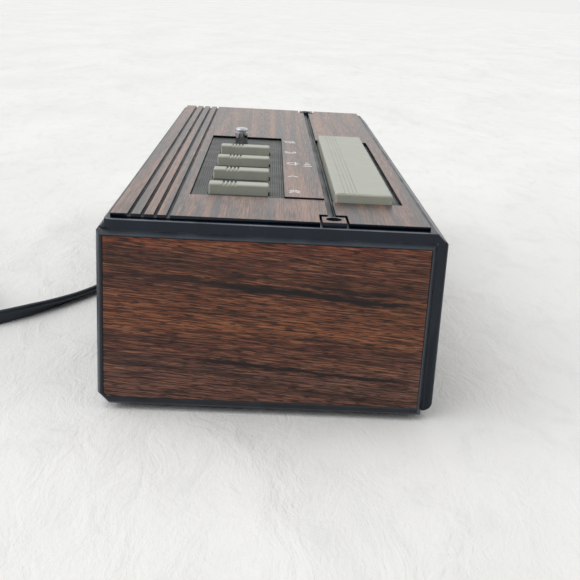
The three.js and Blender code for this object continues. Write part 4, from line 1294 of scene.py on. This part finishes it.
KEPT = {
    "left_top_screw": "plated_steel", "right_top_screw": "plated_steel",
    "left_base_screw": "plated_steel", "right_base_screw": "plated_steel",
    "display_window": "red_window", "dial_window": "smoke_window",
    "function_switch_body": "black_steel", "band_switch_body": "black_steel",
    "tuning_capacitor": "switch_white", "volume_pot": "black_steel",
    "dial_pulley": "switch_white", "dial_cord": "switch_white",
    "dial_pointer": "pointer_orange", "dial_plate": "dial_print",
    "main_board": "circuit_board", "clock_board": "circuit_board", "key_board": "circuit_board",
    "led_display": "display_face", "clock_chip": "chip_black", "contact_comb": "contact_bronze",
    "transformer_core": "black_steel", "transformer_winding": "enamel_copper",
    "filter_capacitor": "capacitor_sleeve", "ferrite_rod": "ferrite", "antenna_coil": "enamel_copper",
    "speaker_frame": "plated_steel", "speaker_cone": "speaker_paper", "speaker_magnet": "ferrite",
}
for kept_node, kept_slot in KEPT.items():
    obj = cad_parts[kept_node]
    obj.data.materials.clear()
    obj.data.materials.append(MATERIALS[kept_slot])

strain_relief = make_strain_relief()
plug = make_plug()

# ---------------------------------------------------------------- cord, coated and attached

coat(mains_cord, "cord_vinyl")
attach(mains_cord, CABINET)
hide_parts("cord_lead", "cord_coil", "cord_tail")

# ---------------------------------------------------------------- floor, light, room

FLOOR_RADIUS = 12.0
SUN_ENERGY = 1.08
SUN_DIRECTION = Vector((0.28, -0.95, -1.0))
ROOM_BEHIND = 0.52  # brightness behind the camera, where 1 is that of the far side


def make_floor():
    """Wide sheet of pale plush that the radio stands on."""
    points = [(0, 0, 0)]
    for k in range(96):
        points.append((FLOOR_RADIUS * math.cos(TAU * k / 96), FLOOR_RADIUS * math.sin(TAU * k / 96), 0))
    faces = [(0, k + 1, (k + 1) % 96 + 1) for k in range(96)]
    floor = make_object("floor", points, faces, smooth=False)
    paint = Paint("pale_plush", Specular_IOR_Level=0.1, Roughness=0.95, Sheen_Weight=0.2)
    folds = paint.noise((190, 120, 100), detail=2, twist=0.4)
    tufts = paint.noise((26, 14, 20), detail=5, rough=0.6, twist=0.8)
    pile = paint.noise((3, 1.4, 2), detail=4, rough=0.7, twist=0.5)
    # Painted shade: the colour is lighter on the fold crests and darker where the tufts rise, following the same
    # noises as the bumps.
    colour = paint.ramp(folds, (0.3, tone(245, 245, 243)), (0.7, tone(252, 252, 251)))
    colour = paint.blend(paint.level(tufts, 0.45, 0.75, 0, 0.4), colour, tone(232, 233, 232))
    paint.relief((folds, 14), (tufts, 1.2), (pile, 0.25))
    floor.data.materials.append(paint.finish(colour))


def make_sun():
    """Broad soft light from above and from the rear side."""
    data = bpy.data.lights.new("soft_sky", "SUN")
    data.energy = SUN_ENERGY
    data.angle = math.radians(70)
    sun = bpy.data.objects.new("soft_sky", data)
    sun.matrix_world = SUN_DIRECTION.to_track_quat("-Z", "Y").to_matrix().to_4x4()
    bpy.context.scene.collection.objects.link(sun)


def make_room():
    """Pale surroundings that are dimmer behind the camera; the camera sees them evenly pale."""
    world = bpy.data.worlds.new("room")
    world.use_nodes = True
    nodes = world.node_tree.nodes
    links = world.node_tree.links
    background = nodes["Background"]
    background.inputs[0].default_value = tone(240, 240, 239)
    direction = nodes.new("ShaderNodeTexCoord").outputs["Generated"]
    split = nodes.new("ShaderNodeSeparateXYZ")
    links.new(direction, split.inputs[0])
    dim = nodes.new("ShaderNodeMapRange")
    dim.inputs["From Min"].default_value = -0.9
    dim.inputs["From Max"].default_value = 0.3
    dim.inputs["To Min"].default_value = ROOM_BEHIND
    dim.inputs["To Max"].default_value = 1
    links.new(split.outputs["X"], dim.inputs["Value"])
    seen = nodes.new("ShaderNodeLightPath").outputs["Is Camera Ray"]
    strength = nodes.new("ShaderNodeMath")
    strength.operation = "MAXIMUM"
    links.new(dim.outputs[0], strength.inputs[0])
    links.new(seen, strength.inputs[1])
    links.new(strength.outputs[0], background.inputs[1])
    bpy.context.scene.world = world
    bpy.context.scene.view_settings.view_transform = "Standard"


make_floor()
make_sun()
make_room()
